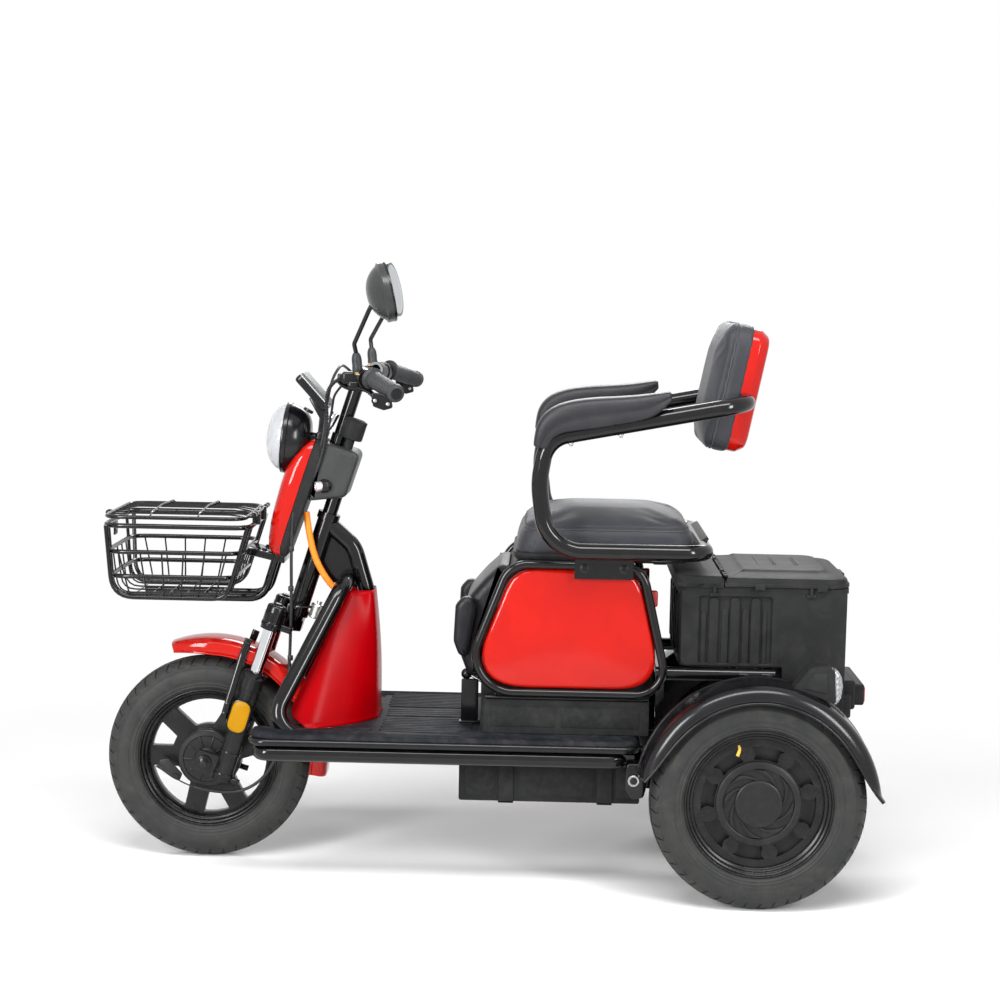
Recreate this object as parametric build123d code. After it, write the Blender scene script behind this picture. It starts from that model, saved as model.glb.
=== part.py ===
from build123d import *
import os
from math import cos, radians, sin

# Three-wheeled electric leisure scooter, in millimetres.
# +Z is up, the front wheel points to -X and the rider's left is -Y.
# The origin is on the floor, at the middle of the vehicle's plan box.

# wheels
wheel_radius = 206.5
tyre_half_width = 40.0
bead_radius = 138.0
flange_radius = 141.0
flange_half_width = 34.0
front_axle_x = -552.0
rear_axle_x = 536.0
half_track = 296.0
front_axle_radius = 7.0
stub_radius = 14.0
fender_radius = 229.0

# steering axis: leans back by the rake and meets the floor at steering_foot_x
rake_deg = 17.4
steering_foot_x = -534.0
leg_offset = 36.3
leg_half_spacing = 66.0
riser_offset = 27.5
head_tube_low, head_tube_high = 524.0, 742.0
steerer_radius = 15.0
running_gap = 0.05

# floor and frame
deck_rail_z = 262.0
deck_rail_radius = 15.0
deck_rail_y = 226.0
deck_tail_x = 292.0
deck_bottom, deck_top = 277.0, 303.0
deck_half_width = 240.0
deck_front_x, deck_notch_x, deck_rear_x = -440.0, -286.0, 312.0
deck_notch_half_width = 181.0
hoop_foot_x, hoop_foot_y = -341.0, 203.0
down_tube_radius = 17.0
down_tube_points = [(-318, 0, 690), (-262, 0, 640), (-232, 0, 540), (-228, 0, deck_rail_z)]
down_tube_bends = [60, 200]

# seat base and seat
panel_plane_y = 190.0
seat_tube_radius = 8.5
loop_corners = [(-40, 385), (56, 636), (312, 636), (370, 385)]
loop_bends = [74, 52, 48, 52]
panel_corners = [(-26.9, 394), (62.2, 627), (304.8, 627), (358.7, 394)]
panel_bends = [65, 43, 39, 43]
seat_base_front, seat_base_rear = 4.0, 333.0
seat_base_half_width = 167.0
plinth_half_width = 180.0
plinth_top = 376.0
seat_base_top = 628.0
seat_front_x, seat_rear_x = 58.0, 406.0
seat_half_width = 176.0
seat_bottom, seat_top = 648.0, 733.0

# armrest hoop and backrest
arm_tube_radius = 16.0
arm_y = 250.0
hoop_points = [
    (431, 0, 669),
    (431, -237, 669),
    (126, -240, 669),
    (109, -246, 800),
    (123, -arm_y, 884),
    (503, -arm_y, 957),
    (503, 0, 957),
]
hoop_bends = [45, 78, 180, 56, 60]
backrest_tilt_deg = 12.5
backrest_seam_x, backrest_seam_z = 481.0, 979.0
backrest_half_width, backrest_half_height = 145.0, 122.0
backrest_pad_depth, backrest_shell_depth = 52.0, 44.0

# storage box
box_front, box_rear = 388.0, 712.0
box_step_x = 588.0
box_half_width = 171.0
box_floor, box_low_floor, box_rim = 441.0, 352.0, 598.0
box_wall = 3.5
lid_seam_x = 472.0
lid_top = 620.0
lid_half_width = 184.0
lid_rear = 719.0
lid_hinge_z = 619.0
hinge_knuckle_radius, hinge_pin_radius = 4.5, 2.0
hinge_clearance_radius = 6.0

# number plate bracket under the rear lamp bar
plate_face_x, plate_hole_z = 732.0, 322.0
plate_hole_radius, plate_hole_spacing = 3.25, 90.0

# front basket
basket_top_front, basket_top_rear = -742.0, -455.0
basket_low_front, basket_low_rear = -690.0, -462.0
basket_half_top, basket_half_low = 143.0, 122.0
basket_floor, basket_rim = 546.0, 704.0
basket_wall = 6.0
basket_hinge_x, basket_hinge_z = -451.0, 711.0
basket_pin_radius = 2.5

# handlebar
bar_radius = 11.0
bar_clamp_x, bar_clamp_z = -257.0, 973.0

axis_dir = Vector(sin(radians(rake_deg)), 0, cos(radians(rake_deg)))
front_dir = Vector(-cos(radians(rake_deg)), 0, sin(radians(rake_deg)))
low_end = (Align.CENTER, Align.CENTER, Align.MIN)


def steer(along, ahead=0.0, side=0.0):
    """A point of the steering frame: along the axis, ahead of it and to the right (+Y)."""
    foot = Vector(steering_foot_x, 0, 0)
    return foot + axis_dir * along + front_dir * ahead + Vector(0, side, 0)


def steer_plane(along, ahead=0.0, side=0.0):
    """A work plane square to the steering axis, its x pointing forwards."""
    return Plane(origin=steer(along, ahead, side), x_dir=front_dir, z_dir=axis_dir)


def rod(start, end, radius, wall=0.0):
    """A straight round bar, or a tube when a wall is given."""
    start, end = Vector(*start), Vector(*end)
    length = (end - start).length
    place = Plane(origin=start, z_dir=end - start)
    bar = place * Cylinder(radius, length, align=low_end)
    if wall:
        bar -= place * Cylinder(radius - wall, length, align=low_end)
    return bar


def bent_tube(points, radius, bends, wall=0.0):
    """A round tube along straight runs joined by tangent arcs."""
    path = FilletPolyline(*points, radius=bends)
    section = Circle(radius)
    if wall:
        section -= Circle(radius - wall)
    return sweep(Plane(origin=path @ 0, z_dir=path % 0) * section, path=path)


def side_plate(outline, half_low, half_high):
    """A plate drawn in side view (x, z) that spans y from half_low to half_high."""
    face = Plane.XZ * make_face(Polyline(*outline, close=True))
    return Pos(0, half_high, 0) * extrude(face, half_high - half_low)


def both_sides(solid):
    """A piece and its mirror image across the middle plane, as one compound."""
    return Compound([*solid.solids(), *mirror(solid, Plane.XZ).solids()])


def block(low, high):
    """An upright box between two opposite corners."""
    size = [b - a for a, b in zip(low, high)]
    middle = [(a + b) / 2 for a, b in zip(low, high)]
    return Pos(*middle) * Box(*size)


# ---- wheels ----


def tyre():
    """A scooter tyre on the Y axis, with its bead on the rim and a round crown."""
    bead, widest_radius, shoulder, half = 30.0, 168.0, 195.0, 30.0
    outline = Curve() + [
        Line((bead_radius, bead), (flange_radius + 1, bead)),
        ThreePointArc((flange_radius + 1, bead), (widest_radius, tyre_half_width), (shoulder, half)),
        ThreePointArc((shoulder, half), (wheel_radius, 0), (shoulder, -half)),
        ThreePointArc((shoulder, -half), (widest_radius, -tyre_half_width), (flange_radius + 1, -bead)),
        Line((flange_radius + 1, -bead), (bead_radius, -bead)),
        Line((bead_radius, -bead), (bead_radius, bead)),
    ]
    return revolve(make_face(outline), Axis.Y, 360)


def rim_barrel():
    """The rim's well with a flange at each side, on the Y axis."""
    wide, bead, well = flange_half_width, 30.0, 126.0
    outline = Polyline(
        (well, -wide),
        (flange_radius, -wide),
        (flange_radius, -bead),
        (bead_radius, -bead),
        (bead_radius, bead),
        (flange_radius, bead),
        (flange_radius, wide),
        (well, wide),
        (well - 4, 0),
        close=True,
    )
    return revolve(make_face(outline), Axis.Y, 360)


def y_disc(radius, y_low, y_high):
    """A disc on the Y axis between two planes."""
    return Pos(0, (y_low + y_high) / 2, 0) * Rot(90, 0, 0) * Cylinder(radius, y_high - y_low)


def window(inner, outer, middle_deg, half_deg, depth):
    """A wheel window: a ring sector cut through the web."""
    ring = y_disc(outer, -depth, depth) - y_disc(inner, -depth, depth)
    reach = 2 * outer
    low, high = radians(middle_deg - half_deg), radians(middle_deg + half_deg)
    wedge = side_plate(
        [(0, 0), (reach * cos(low), reach * sin(low)), (reach * cos(high), reach * sin(high))],
        -depth,
        depth,
    )
    return ring & wedge


def front_rim():
    """A cast wheel with three wide and three narrow windows and a drum hub."""
    web_half, hub_half, hub_radius = 9.0, 29.0, 58.0
    rim = rim_barrel() + y_disc(127, -web_half, web_half) + y_disc(hub_radius, -hub_half, hub_half)
    for turn in range(3):
        rim -= window(64, 116, 98 + 120 * turn, 27, 20)
        rim -= window(72, 116, 38 + 120 * turn, 13, 20)
    return rim - y_disc(front_axle_radius + running_gap, -40, 40)


def rear_rim(side):
    """A pressed wheel with a dished web and a round hub cover on the outer side."""
    web = y_disc(127, *sorted((side * 4, side * 16)))
    hub = y_disc(80, *sorted((side * -30, side * 20)))
    cover = y_disc(80, *sorted((side * 20, side * 27)))
    bore = y_disc(stub_radius + running_gap, *sorted((side * -40, side * 20.5)))
    return rim_barrel() + web + hub + cover - bore


# ---- main frame ----


def main_frame():
    """Head tube, curved down tube and the gusset plate between them."""
    head = steer_plane(head_tube_low) * Cylinder(20, head_tube_high - head_tube_low, align=low_end)
    for along in (head_tube_low, head_tube_high - 14):
        head += steer_plane(along) * Cylinder(23, 14, align=low_end)
    down = bent_tube(down_tube_points, down_tube_radius, down_tube_bends)
    gusset = side_plate([(-330, 686), (-262, 644), (-234, 556), (-292, 562), (-352, 592)], -4, 4)
    frame = head + down + gusset
    bore = steer_plane(head_tube_low - 5) * Cylinder(
        steerer_radius + running_gap, head_tube_high - head_tube_low + 60, align=low_end
    )
    return frame - bore


def leg_guard_hoop():
    """The raked hoop in front of the rider's legs, its feet on the deck's front corners."""
    points = [
        (hoop_foot_x, -hoop_foot_y, deck_bottom),
        (-386, -199, 350),
        (-275, -78, 574),
        (-275, 78, 574),
        (-386, 199, 350),
        (hoop_foot_x, hoop_foot_y, deck_bottom),
    ]
    return bent_tube(points, 16.5, [48, 44, 44, 48], wall=2.5)


def shield_outline(front, back, half_front, half_back, shrink):
    """Plan outline of the leg shield: straight sides that close in to a blunt nose."""
    shoulder = front + 0.42 * (back - front)
    near = back - 0.18 * (back - front)
    f, b = half_front - shrink, half_back - shrink
    right = [(front, f), (shoulder, f - 2), (near - shrink, 0.66 * f), (back - shrink, b)]
    return right + [(x, -y) for x, y in reversed(right)]


def leg_shield():
    """A thin shell around the down tube, open to the front, above and below."""
    wall, low, high = 3.0, deck_top, 566.0

    def body(shrink, extra):
        bottom = shield_outline(-420 - extra, -203, 184, 62, shrink)
        top = shield_outline(-340 - extra, -214, 66, 44, shrink)
        sections = [
            Pos(0, 0, low - extra) * make_face(Polyline(*bottom, close=True)),
            Pos(0, 0, high + extra) * make_face(Polyline(*top, close=True)),
        ]
        return loft(sections, ruled=True)

    shell = body(0, 0) - body(wall, 40)
    side_view = side_plate(
        [(-325, low), (-352, low + 18), (-362, 352), (-262, high), (-150, high), (-150, low)], -220, 220
    )
    return shell & side_view


def deck_frame():
    """Side rails with hooked front ends, two inner rails and the cross members."""
    frame = bent_tube(
        [
            (-422, -192, deck_rail_z),
            (-422, -deck_rail_y, deck_rail_z),
            (deck_tail_x, -deck_rail_y, deck_rail_z),
            (deck_tail_x, -98, deck_rail_z),
        ],
        deck_rail_radius,
        [18, 40],
    )
    frame += mirror(frame, Plane.XZ)
    for side in (-1, 1):
        low, high = sorted((side * 88, side * 112))
        frame += block((deck_notch_x, low, 250), (deck_tail_x + 12, high, 274))
    for x in (deck_notch_x + 12, -60, 120, deck_tail_x):
        frame += block((x - 12, -deck_rail_y, 250), (x + 12, deck_rail_y, 274))
    return frame


def footboard():
    """The foot mat: a wide plate with two front horns and long grooves."""
    wide, notch = deck_half_width, deck_notch_half_width
    half = [
        (deck_rear_x, wide),
        (deck_front_x, wide),
        (deck_front_x, notch + 4),
        (-330, notch),
        (deck_notch_x, 150),
    ]
    outline = half + [(x, -y) for x, y in reversed(half)]
    face = Pos(0, 0, deck_bottom) * make_face(Polyline(*outline, close=True))
    board = extrude(face, deck_top - deck_bottom)
    rear = board.edges().filter_by(Axis.Z).sort_by(Axis.X)
    board = fillet(rear[-2:], 36)
    for count in range(8):
        y = 62 + 16 * count
        board -= block((-190, y - 2, deck_top - 2), (-16, y + 2, deck_top + 1))
        board -= block((-190, -y - 2, deck_top - 2), (-16, -y + 2, deck_top + 1))
    return board


def battery_box():
    """The battery case under the deck with two strap bands."""
    low, high, half = 160.0, 249.5, 150.0
    case = fillet(block((-37, -half, low), (319, half, high)).edges().filter_by(Axis.Y), 12)
    for x in (56, 250):
        case += block((x - 16, -half - 3, low - 3), (x + 16, half + 3, high))
    return case


def rounded_plate(corners, bends, half_low, half_high):
    """A plate in side view between two y planes, each upright corner with its own bend."""
    path = Polyline(*corners, close=True)
    face = Plane.XZ * make_face(path)
    plate = Pos(0, half_high, 0) * extrude(face, half_high - half_low)
    for (x, z), bend in zip(corners, bends):
        spot = Vector(x, (half_low + half_high) / 2, z)
        corner = plate.edges().filter_by(Axis.Y).sort_by_distance(spot)[0]
        plate = fillet(corner, bend)
    return plate


def seat_loop(side):
    """The rounded four-sided tube loop around one side panel."""
    y, radius = side * panel_plane_y, seat_tube_radius
    low, high = y - radius, y + radius
    plate = rounded_plate(loop_corners, loop_bends, low - 1, high + 1)
    face = plate.faces().sort_by(Axis.Y)[0]
    wire = Pos(0, y - face.center().Y, 0) * face.outer_wire()
    section = Plane(origin=wire @ 0, z_dir=wire % 0) * Circle(radius)
    return sweep(section, path=wire, transition=Transition.RIGHT)


def seat_frame():
    """Both side loops and the two tubes that tie them together under the seat."""
    frame = seat_loop(-1) + seat_loop(1)
    for x in (92, 286):
        frame += rod((x, -panel_plane_y, 638), (x, panel_plane_y, 638), 7)
    return frame


def seat_base():
    """Closed body under the seat that holds the battery: plinth and upper case."""
    front, rear = seat_base_front, seat_base_rear
    plinth = block((front, -plinth_half_width, deck_top), (rear, plinth_half_width, plinth_top))
    outline = [
        (front, plinth_top - 1),
        (front, 470),
        (54, seat_base_top),
        (304, seat_base_top),
        (340, plinth_top + 40),
        (rear, plinth_top - 1),
    ]
    return plinth + side_plate(outline, -seat_base_half_width, seat_base_half_width)


def side_panel(side):
    """A glossy outer panel, a rounded four-sided shape inside its tube loop."""
    low, high = sorted((side * seat_base_half_width, side * (panel_plane_y + 3)))
    panel = rounded_plate(panel_corners, panel_bends, low, high)
    outer = panel.faces().sort_by(Axis.Y)[0 if side < 0 else -1]
    return fillet(outer.edges(), 5)


def seat_front_cover():
    """The bulged dark cover in front of the seat base, with the lever post at its foot."""
    outline = [
        (40, 630),
        (4, 612),
        (-34, 566),
        (-46, 520),
        (-45, 462),
        (-28, 410),
        (seat_base_front, 396),
        (seat_base_front, 470),
        (54, seat_base_top),
    ]
    cover = side_plate(outline, -118, 118)
    sides = cover.faces().filter_by(Axis.Y)
    cover = chamfer([edge for face in sides for edge in face.edges() if edge.center().X < 0], 8)
    post = block((-37, -94, deck_top), (-3, -86, 392))
    knob = Pos(-27, -90, 402) * Sphere(11)
    link = rod((-27, -90, 402), (seat_base_front, -90, 402), 4)
    return cover + post + knob + link


def seat_cushion():
    """The thick seat pad and its pan, which has a turned-out rear lip."""
    front, rear, half = seat_front_x, seat_rear_x, seat_half_width
    outline = [
        (front + 4, seat_bottom),
        (front, 690),
        (front + 24, 724),
        (front + 70, seat_top + 5),
        (rear - 70, seat_top + 3),
        (rear - 12, 716),
        (rear, 690),
        (rear - 4, seat_bottom),
    ]
    pad = side_plate(outline, -half, half)
    sides = pad.faces().filter_by(Axis.Y)
    pad = fillet([edge for face in sides for edge in face.edges() if edge.center().Z > seat_bottom + 5], 18)
    lip = block((rear - 8, -half + 14, 686), (443, half - 14, 691))
    return pad + lip


def hoop_half(radius, wall=0.0):
    """Half of the armrest hoop: from under the seat's rear to the middle behind the back."""
    return bent_tube(hoop_points, radius, hoop_bends, wall)


def armrest_hoop():
    """One closed tube: under the seat's rear, up both sides and round behind the back."""
    tube = hoop_half(arm_tube_radius)
    hoop = tube + mirror(tube, Plane.XZ)
    for side in (-1, 1):
        inner = side * (panel_plane_y + seat_tube_radius)
        low, high = sorted((inner, side * 206))
        hoop += block((181, low, 612), (294, high, 656))
        low, high = sorted((side * 200, side * 238))
        hoop += block((181, low, 648), (294, high, 656))
    return hoop


def arm_pad(side):
    """A moulded arm pad that wraps over the hoop's upper run."""
    outline = [
        (97, 872),
        (103, 915),
        (130, 947),
        (180, 963),
        (260, 968),
        (350, 979),
        (352, 962),
        (326, 940),
        (200, 912),
        (150, 903),
        (126, 870),
    ]
    low, high = sorted((side * (arm_y - 29), side * (arm_y + 29)))
    pad = side_plate(outline, low, high)
    sides = pad.faces().filter_by(Axis.Y)
    return fillet([edge for face in sides for edge in face.edges() if edge.center().Z > 943], 8)


def backrest_plane():
    """Local frame of the backrest: x rearwards through it, z up along its tilt."""
    lean = radians(backrest_tilt_deg)
    origin = (backrest_seam_x, 0, backrest_seam_z)
    return Plane(origin=origin, x_dir=(cos(lean), 0, -sin(lean)), z_dir=(sin(lean), 0, cos(lean)))


def backrest_slab(front, rear, bend):
    """A slab across the backrest's depth with rounded corners."""
    slab = Box(rear - front, 2 * backrest_half_width, 2 * backrest_half_height)
    slab = Pos((front + rear) / 2, 0, 0) * slab
    return fillet(slab.edges().filter_by(Axis.X), bend)


def backrest_pad():
    """The padded front of the backrest."""
    pad = backrest_slab(-backrest_pad_depth, 0, 44)
    return backrest_plane().location * fillet(pad.faces().sort_by(Axis.X)[0].edges(), 18)


def backrest_shell():
    """The glossy shell behind the pad."""
    shell = backrest_slab(0, backrest_shell_depth, 44)
    return backrest_plane().location * fillet(shell.faces().sort_by(Axis.X)[-1].edges(), 18)


# ---- rear end ----


def carrier_rack():
    """Two long tubes under the storage box, their cross bars and front legs."""
    z, y, front = 427.0, 176.0, 353.0
    rack = rod((front - 10, -y, z), (574, -y, z), 13) + rod((front - 10, y, z), (574, y, z), 13)
    for x in (front, 560):
        rack += block((x - 8, -y, z - 10), (x + 8, y, z + 10))
    for side in (-1, 1):
        low, high = sorted((side * 142, side * 158))
        rack += block((front - 8, low, 250), (front + 8, high, z))
        rack += block((deck_tail_x, low, 250), (front + 8, high, 274))
    return rack


def tub(front, rear, half, floor, rim, bend):
    """A box with rounded upright corners."""
    return fillet(block((front, -half, floor), (rear, half, rim)).edges().filter_by(Axis.Z), bend)


def storage_box():
    """The open storage box with its rim band, fixed front cap and hinge pin."""
    wall, half = box_wall, box_half_width
    body = tub(box_front, box_rear, half, box_floor, box_rim, 26)
    body += tub(box_step_x, box_rear, half, box_low_floor, box_rim, 26)
    body += tub(box_front - 6, box_rear + 4, half + 6, box_rim - 10, box_rim, 30)
    body -= tub(box_front + wall, box_rear - wall, half - wall, box_floor + wall, box_rim + 1, 22)
    body -= tub(box_step_x + wall, box_rear - wall, half - wall, box_low_floor + wall, box_rim + 1, 22)
    cap_half = lid_half_width
    cap = block((box_front - 10, -cap_half, box_rim), (lid_seam_x - 2, cap_half, lid_top))
    cap = fillet(cap.edges().filter_by(Axis.Z).sort_by(Axis.X)[:2], 26)
    cap = fillet(cap.faces().sort_by(Axis.Z)[-1].edges().sort_by(Axis.X)[:-1], 5)
    body += cap - rod(*hinge_line(200), hinge_clearance_radius)
    for side in (-1, 1):
        y = side * 95
        knuckle = (lid_seam_x, y - 16, lid_hinge_z), (lid_seam_x, y + 16, lid_hinge_z)
        body += rod(*knuckle, hinge_knuckle_radius)
        body += block((lid_seam_x - 9, y - 16, lid_top - 5), (lid_seam_x, y + 16, lid_top - 1))
    return body + rod(*hinge_line(150), hinge_pin_radius)


def hinge_line(half):
    """The two ends of the lid's hinge axis."""
    return (lid_seam_x, -half, lid_hinge_z), (lid_seam_x, half, lid_hinge_z)


def box_lid():
    """The opening lid with its skirt and hinge knuckles."""
    thick, gap, half = 4.0, 1.0, lid_half_width
    lid = block((lid_seam_x, -half, box_rim + gap), (lid_rear, half, lid_top))
    lid = fillet(lid.edges().filter_by(Axis.Z).sort_by(Axis.X)[2:], 30)
    lid = fillet(lid.faces().sort_by(Axis.Z)[-1].edges().sort_by(Axis.X)[1:], 5)
    lid -= block((lid_seam_x - 1, -half + 16, box_rim), (lid_rear - 16, half - 16, lid_top - thick))
    lid -= rod(*hinge_line(200), hinge_clearance_radius)
    for y in (-130, 0, 130):
        width = 40 if y == 0 else 12
        knuckle = (lid_seam_x, y - width, lid_hinge_z), (lid_seam_x, y + width, lid_hinge_z)
        lid += rod(*knuckle, hinge_knuckle_radius)
        lid += block((lid_seam_x, y - width, lid_top - 5), (lid_seam_x + 9, y + width, lid_top - 1))
    return lid - rod(*hinge_line(200), hinge_pin_radius + running_gap)


def arch(outline, centre, start_deg, end_deg):
    """A wheel arch: a section (radius, y) swept about a wheel axle between two angles."""
    section = make_face(Polyline(*outline, close=True))
    ring = revolve(section, Axis.Y, -(end_deg - start_deg))
    return Pos(*centre) * Rot(0, -start_deg, 0) * ring


def rear_fender(side):
    """A crescent mudguard over one rear wheel, with a side skirt and a mounting bracket."""
    outer, wall = fender_radius, 3.0
    outline = [
        (199, side * 50),
        (219, side * 50),
        (outer, side * 38),
        (outer, side * -54),
        (outer - wall, side * -54),
        (outer - wall, side * 36.5),
        (218, side * 47),
        (199, side * 47),
    ]
    centre = (rear_axle_x, side * half_track, wheel_radius)
    guard = arch(outline, centre, 3, 169)
    low, high = sorted((side * 180, side * (half_track - 50)))
    return guard + block((rear_axle_x - 30, low, 424), (rear_axle_x + 24, high, 432.5))


def rear_axle():
    """Axle tube with the gear and motor housings, and a stub for each wheel."""
    inner = half_track - flange_half_width - 10
    x, z = rear_axle_x, wheel_radius
    axle = rod((x, -inner, z), (x, inner, z), 26)
    axle += rod((x, -46, z), (x, 50, z), 76) + rod((x, 50, z), (x, 158, z), 58)
    for side in (-1, 1):
        axle += rod((x, side * inner, z), (x, side * (half_track + 20), z), stub_radius)
        axle += rod((x, side * inner, z), (x, side * (inner + 5), z), 34)
    return axle


def rear_suspension():
    """Trailing arms from the deck's rear to the axle, and two coil-over dampers."""
    both = None
    for side in (-1, 1):
        y = side * 196
        arm = block((302, y - 9, 205), (rear_axle_x, y + 9, 233))
        arm += block((rear_axle_x - 40, y - 9, 205), (rear_axle_x + 16, y + 9, 250))
        arm += rod((302, y - 16, 218), (302, y + 16, 218), 12)
        hanger = block((292, y - 16, 214), (312, y - 10, 249))
        hanger += block((292, y + 10, 214), (312, y + 16, 249))
        damper = rod((rear_axle_x - 4, y, 240), (rear_axle_x - 22, y, 418), 8)
        damper += rod((rear_axle_x - 7, y, 262), (rear_axle_x - 20, y, 396), 21)
        unit = arm + hanger + damper
        both = unit if both is None else both + unit
    return both


def tail_lamp(side):
    """A wedge-shaped lamp housing behind the fender's crown."""
    outline = [(588, 400), (624, 463), (680, 465), (684, 396), (640, 396)]
    low, high = sorted((side * 262, side * 312))
    lamp = side_plate(outline, low, high)
    return lamp - Pos(rear_axle_x, 0, wheel_radius) * y_disc(fender_radius, low - 1, high + 1)


def rear_bumper():
    """The stepped lamp bar behind the storage box."""
    bar = block((box_rear, -120, 352), (740, 120, 410)) + block((740, -104, 358), (762, 104, 400))
    bar += block((box_rear, -60, 300), (plate_face_x, 60, 352))
    for side in (-1, 1):
        y = side * plate_hole_spacing / 2
        bar -= rod((box_rear - 1, y, plate_hole_z), (plate_face_x + 1, y, plate_hole_z), plate_hole_radius)
    return bar


# ---- steering assembly ----


def steering_stem():
    """Steerer tube, fork crown with its leg clamps, link block, riser and bar clamp."""
    stem = steer_plane(502) * Cylinder(steerer_radius, 320, align=low_end)
    half, front = leg_half_spacing, leg_offset + 19
    crown = [(-19, -20), (-19, 20), (14, half), (front, half), (front, -half), (14, -half)]
    stem += extrude(steer_plane(496) * make_face(Polyline(*crown, close=True)), 22)
    for side in (-1, 1):
        stem += steer_plane(490, leg_offset, side * leg_half_spacing) * Cylinder(21, 36, align=low_end)
    stem += steer_plane(798, riser_offset / 2) * Box(riser_offset + 30, 34, 24, align=low_end)
    stem += steer_plane(800, riser_offset) * Cylinder(14, 200, align=low_end)
    stem += steer_plane(850, riser_offset) * Cylinder(17.5, 50, align=low_end)
    x, z = bar_clamp_x, bar_clamp_z
    stem += rod((x, -26, z), (x, 26, z), 18)
    return stem


def fork_stanchions():
    """The two bright inner fork tubes."""
    return both_sides(steer_plane(358, leg_offset, leg_half_spacing) * Cylinder(13.5, 176, align=low_end))


def fork_lowers():
    """Black lower legs with a collar and a leading lug for the axle."""
    side = leg_half_spacing
    leg = steer_plane(166, leg_offset, side) * Cylinder(19.5, 220, align=low_end)
    leg += steer_plane(363, leg_offset, side) * Cylinder(22, 25, align=low_end)
    lug = Plane(origin=steer(168, leg_offset - 8, side), x_dir=front_dir, z_dir=axis_dir)
    leg += lug * Box(70, 14, 44, align=(Align.MIN, Align.CENTER, Align.MIN))
    return both_sides(leg)


def front_axle():
    """Axle bolt with nuts, and the fixed brake plate on the left side."""
    x, z = front_axle_x, wheel_radius
    end, face = leg_half_spacing + 17, leg_half_spacing + 7
    axle = rod((x, -end, z), (x, end, z), front_axle_radius)
    for side in (-1, 1):
        axle += rod((x, side * face, z), (x, side * (face + 6), z), 12)
    axle += rod((x, -34.5, z), (x, -44, z), 58) + rod((x, -44, z), (x, -59, z), 12)
    return axle + rod((x, 34.5, z), (x, 59, z), 12)


def front_mudguard():
    """A narrow arched guard over the front wheel, with short skirts and side stays."""
    outer, wall, half = 241.0, 3.0, 50.0
    right = [(213, half), (230, half), (outer, 30)]
    inside = [(213, half - wall), (228.5, half - wall), (outer - wall, 28.5)]
    left_edge = [(r, -y) for r, y in reversed(right)]
    left_inside = [(r, -y) for r, y in inside]
    outline = right + left_edge + left_inside + inside[::-1]
    guard = arch(outline, (-549, 0, 213), -9, 109)
    for side in (-1, 1):
        guard += steer_plane(284, 70, side * (half + 2)) * Box(12, 4, 160, align=low_end)
        guard += steer_plane(284, 56, side * (half + 5)) * Box(40, 10, 20, align=low_end)
    return guard


def handlebar():
    """The swept-back bar."""
    left = [(-158, -320, 966), (-224, -190, 994), (bar_clamp_x, -70, bar_clamp_z)]
    return bent_tube(left + [(x, -y, z) for x, y, z in reversed(left)], bar_radius, [70, 60, 60, 70])


def grips():
    """Round grips over the bar's last stretch."""
    inner, outer = Vector(-224, -190, 994), Vector(-158, -320, 966)
    along = (outer - inner).normalized()
    return both_sides(rod(inner + along * 28, outer + along * 3, 16.5))


def brake_levers():
    """Lever clamps and blades, one for each hand."""
    clamp = rod((-226, -183, 993), (-236, -148, 987), 18)
    clamp += block((-278, -182, 962), (-236, -150, 990))
    blade = bent_tube([(-266, -166, 972), (-264, -206, 966), (-192, -318, 943)], 5, [24])
    return both_sides(clamp + blade)


def mirrors():
    """Mirror heads on bent stems with boots at their foot."""
    stem = bent_tube([(-232, -178, 1006), (-244, -212, 1058), (-206, -238, 1140)], 4.5, [40])
    stem += rod((-230, -172, 1000), (-242, -206, 1049), 8)
    glass = Plane(origin=(-176, -240, 1152), x_dir=(0, 1, 0), z_dir=(-0.96, 0.1, 0.24))
    head = extrude(glass * Ellipse(60, 53), 14)
    mid = Plane(origin=glass.origin + glass.z_dir * 14, x_dir=(0, 1, 0), z_dir=glass.z_dir)
    back = Plane(origin=glass.origin + glass.z_dir * 34, x_dir=(0, 1, 0), z_dir=glass.z_dir)
    head += loft([mid * Ellipse(60, 53), back * Ellipse(36, 30)])
    return both_sides(stem + head)


def display():
    """The instrument panel on its bracket ahead of the bar."""
    facing = Plane(origin=(-343, 0, 951), x_dir=(0, 1, 0), z_dir=(0.597, 0, 0.802))
    case = facing * fillet(Box(92, 96, 22).edges().filter_by(Axis.Z), 16)
    return case + rod((-318, 0, 930), (-272, 0, 930), 7)


def front_cowl():
    """The dark cowl ahead of the head tube, behind the basket."""
    outline = [
        (-345, 856),
        (-372, 835),
        (-402, 785),
        (-428, 690),
        (-432, 640),
        (-418, 622),
        (-395, 618),
        (-376, 690),
        (-352, 770),
        (-335, 850),
    ]
    cowl = side_plate(outline, -66, 66)
    sides = cowl.faces().filter_by(Axis.Y)
    return fillet([edge for face in sides for edge in face.edges() if edge.center().X < -390], 12)


def console_box():
    """The console around the riser's foot, with the capped post on its left."""
    box = side_plate([(-352, 735), (-335, 850), (-315, 852), (-243, 832), (-262, 755)], -54, 54)
    box = fillet([edge for edge in box.edges().filter_by(Axis.Y) if edge.center().X > -300], 14)
    post = Plane(origin=steer(850, riser_offset, -40), z_dir=axis_dir, x_dir=front_dir)
    return box + post * Cylinder(10, 50, align=low_end) + steer_plane(893, riser_offset, -40) * Cylinder(
        23.5, 45, align=low_end
    )


def lamp_plane():
    """Local frame of the headlight, z pointing out of the lens."""
    return Plane(origin=(-403, 0, 859), x_dir=(0, 1, 0), z_dir=(-0.995, 0, 0.098))


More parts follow.
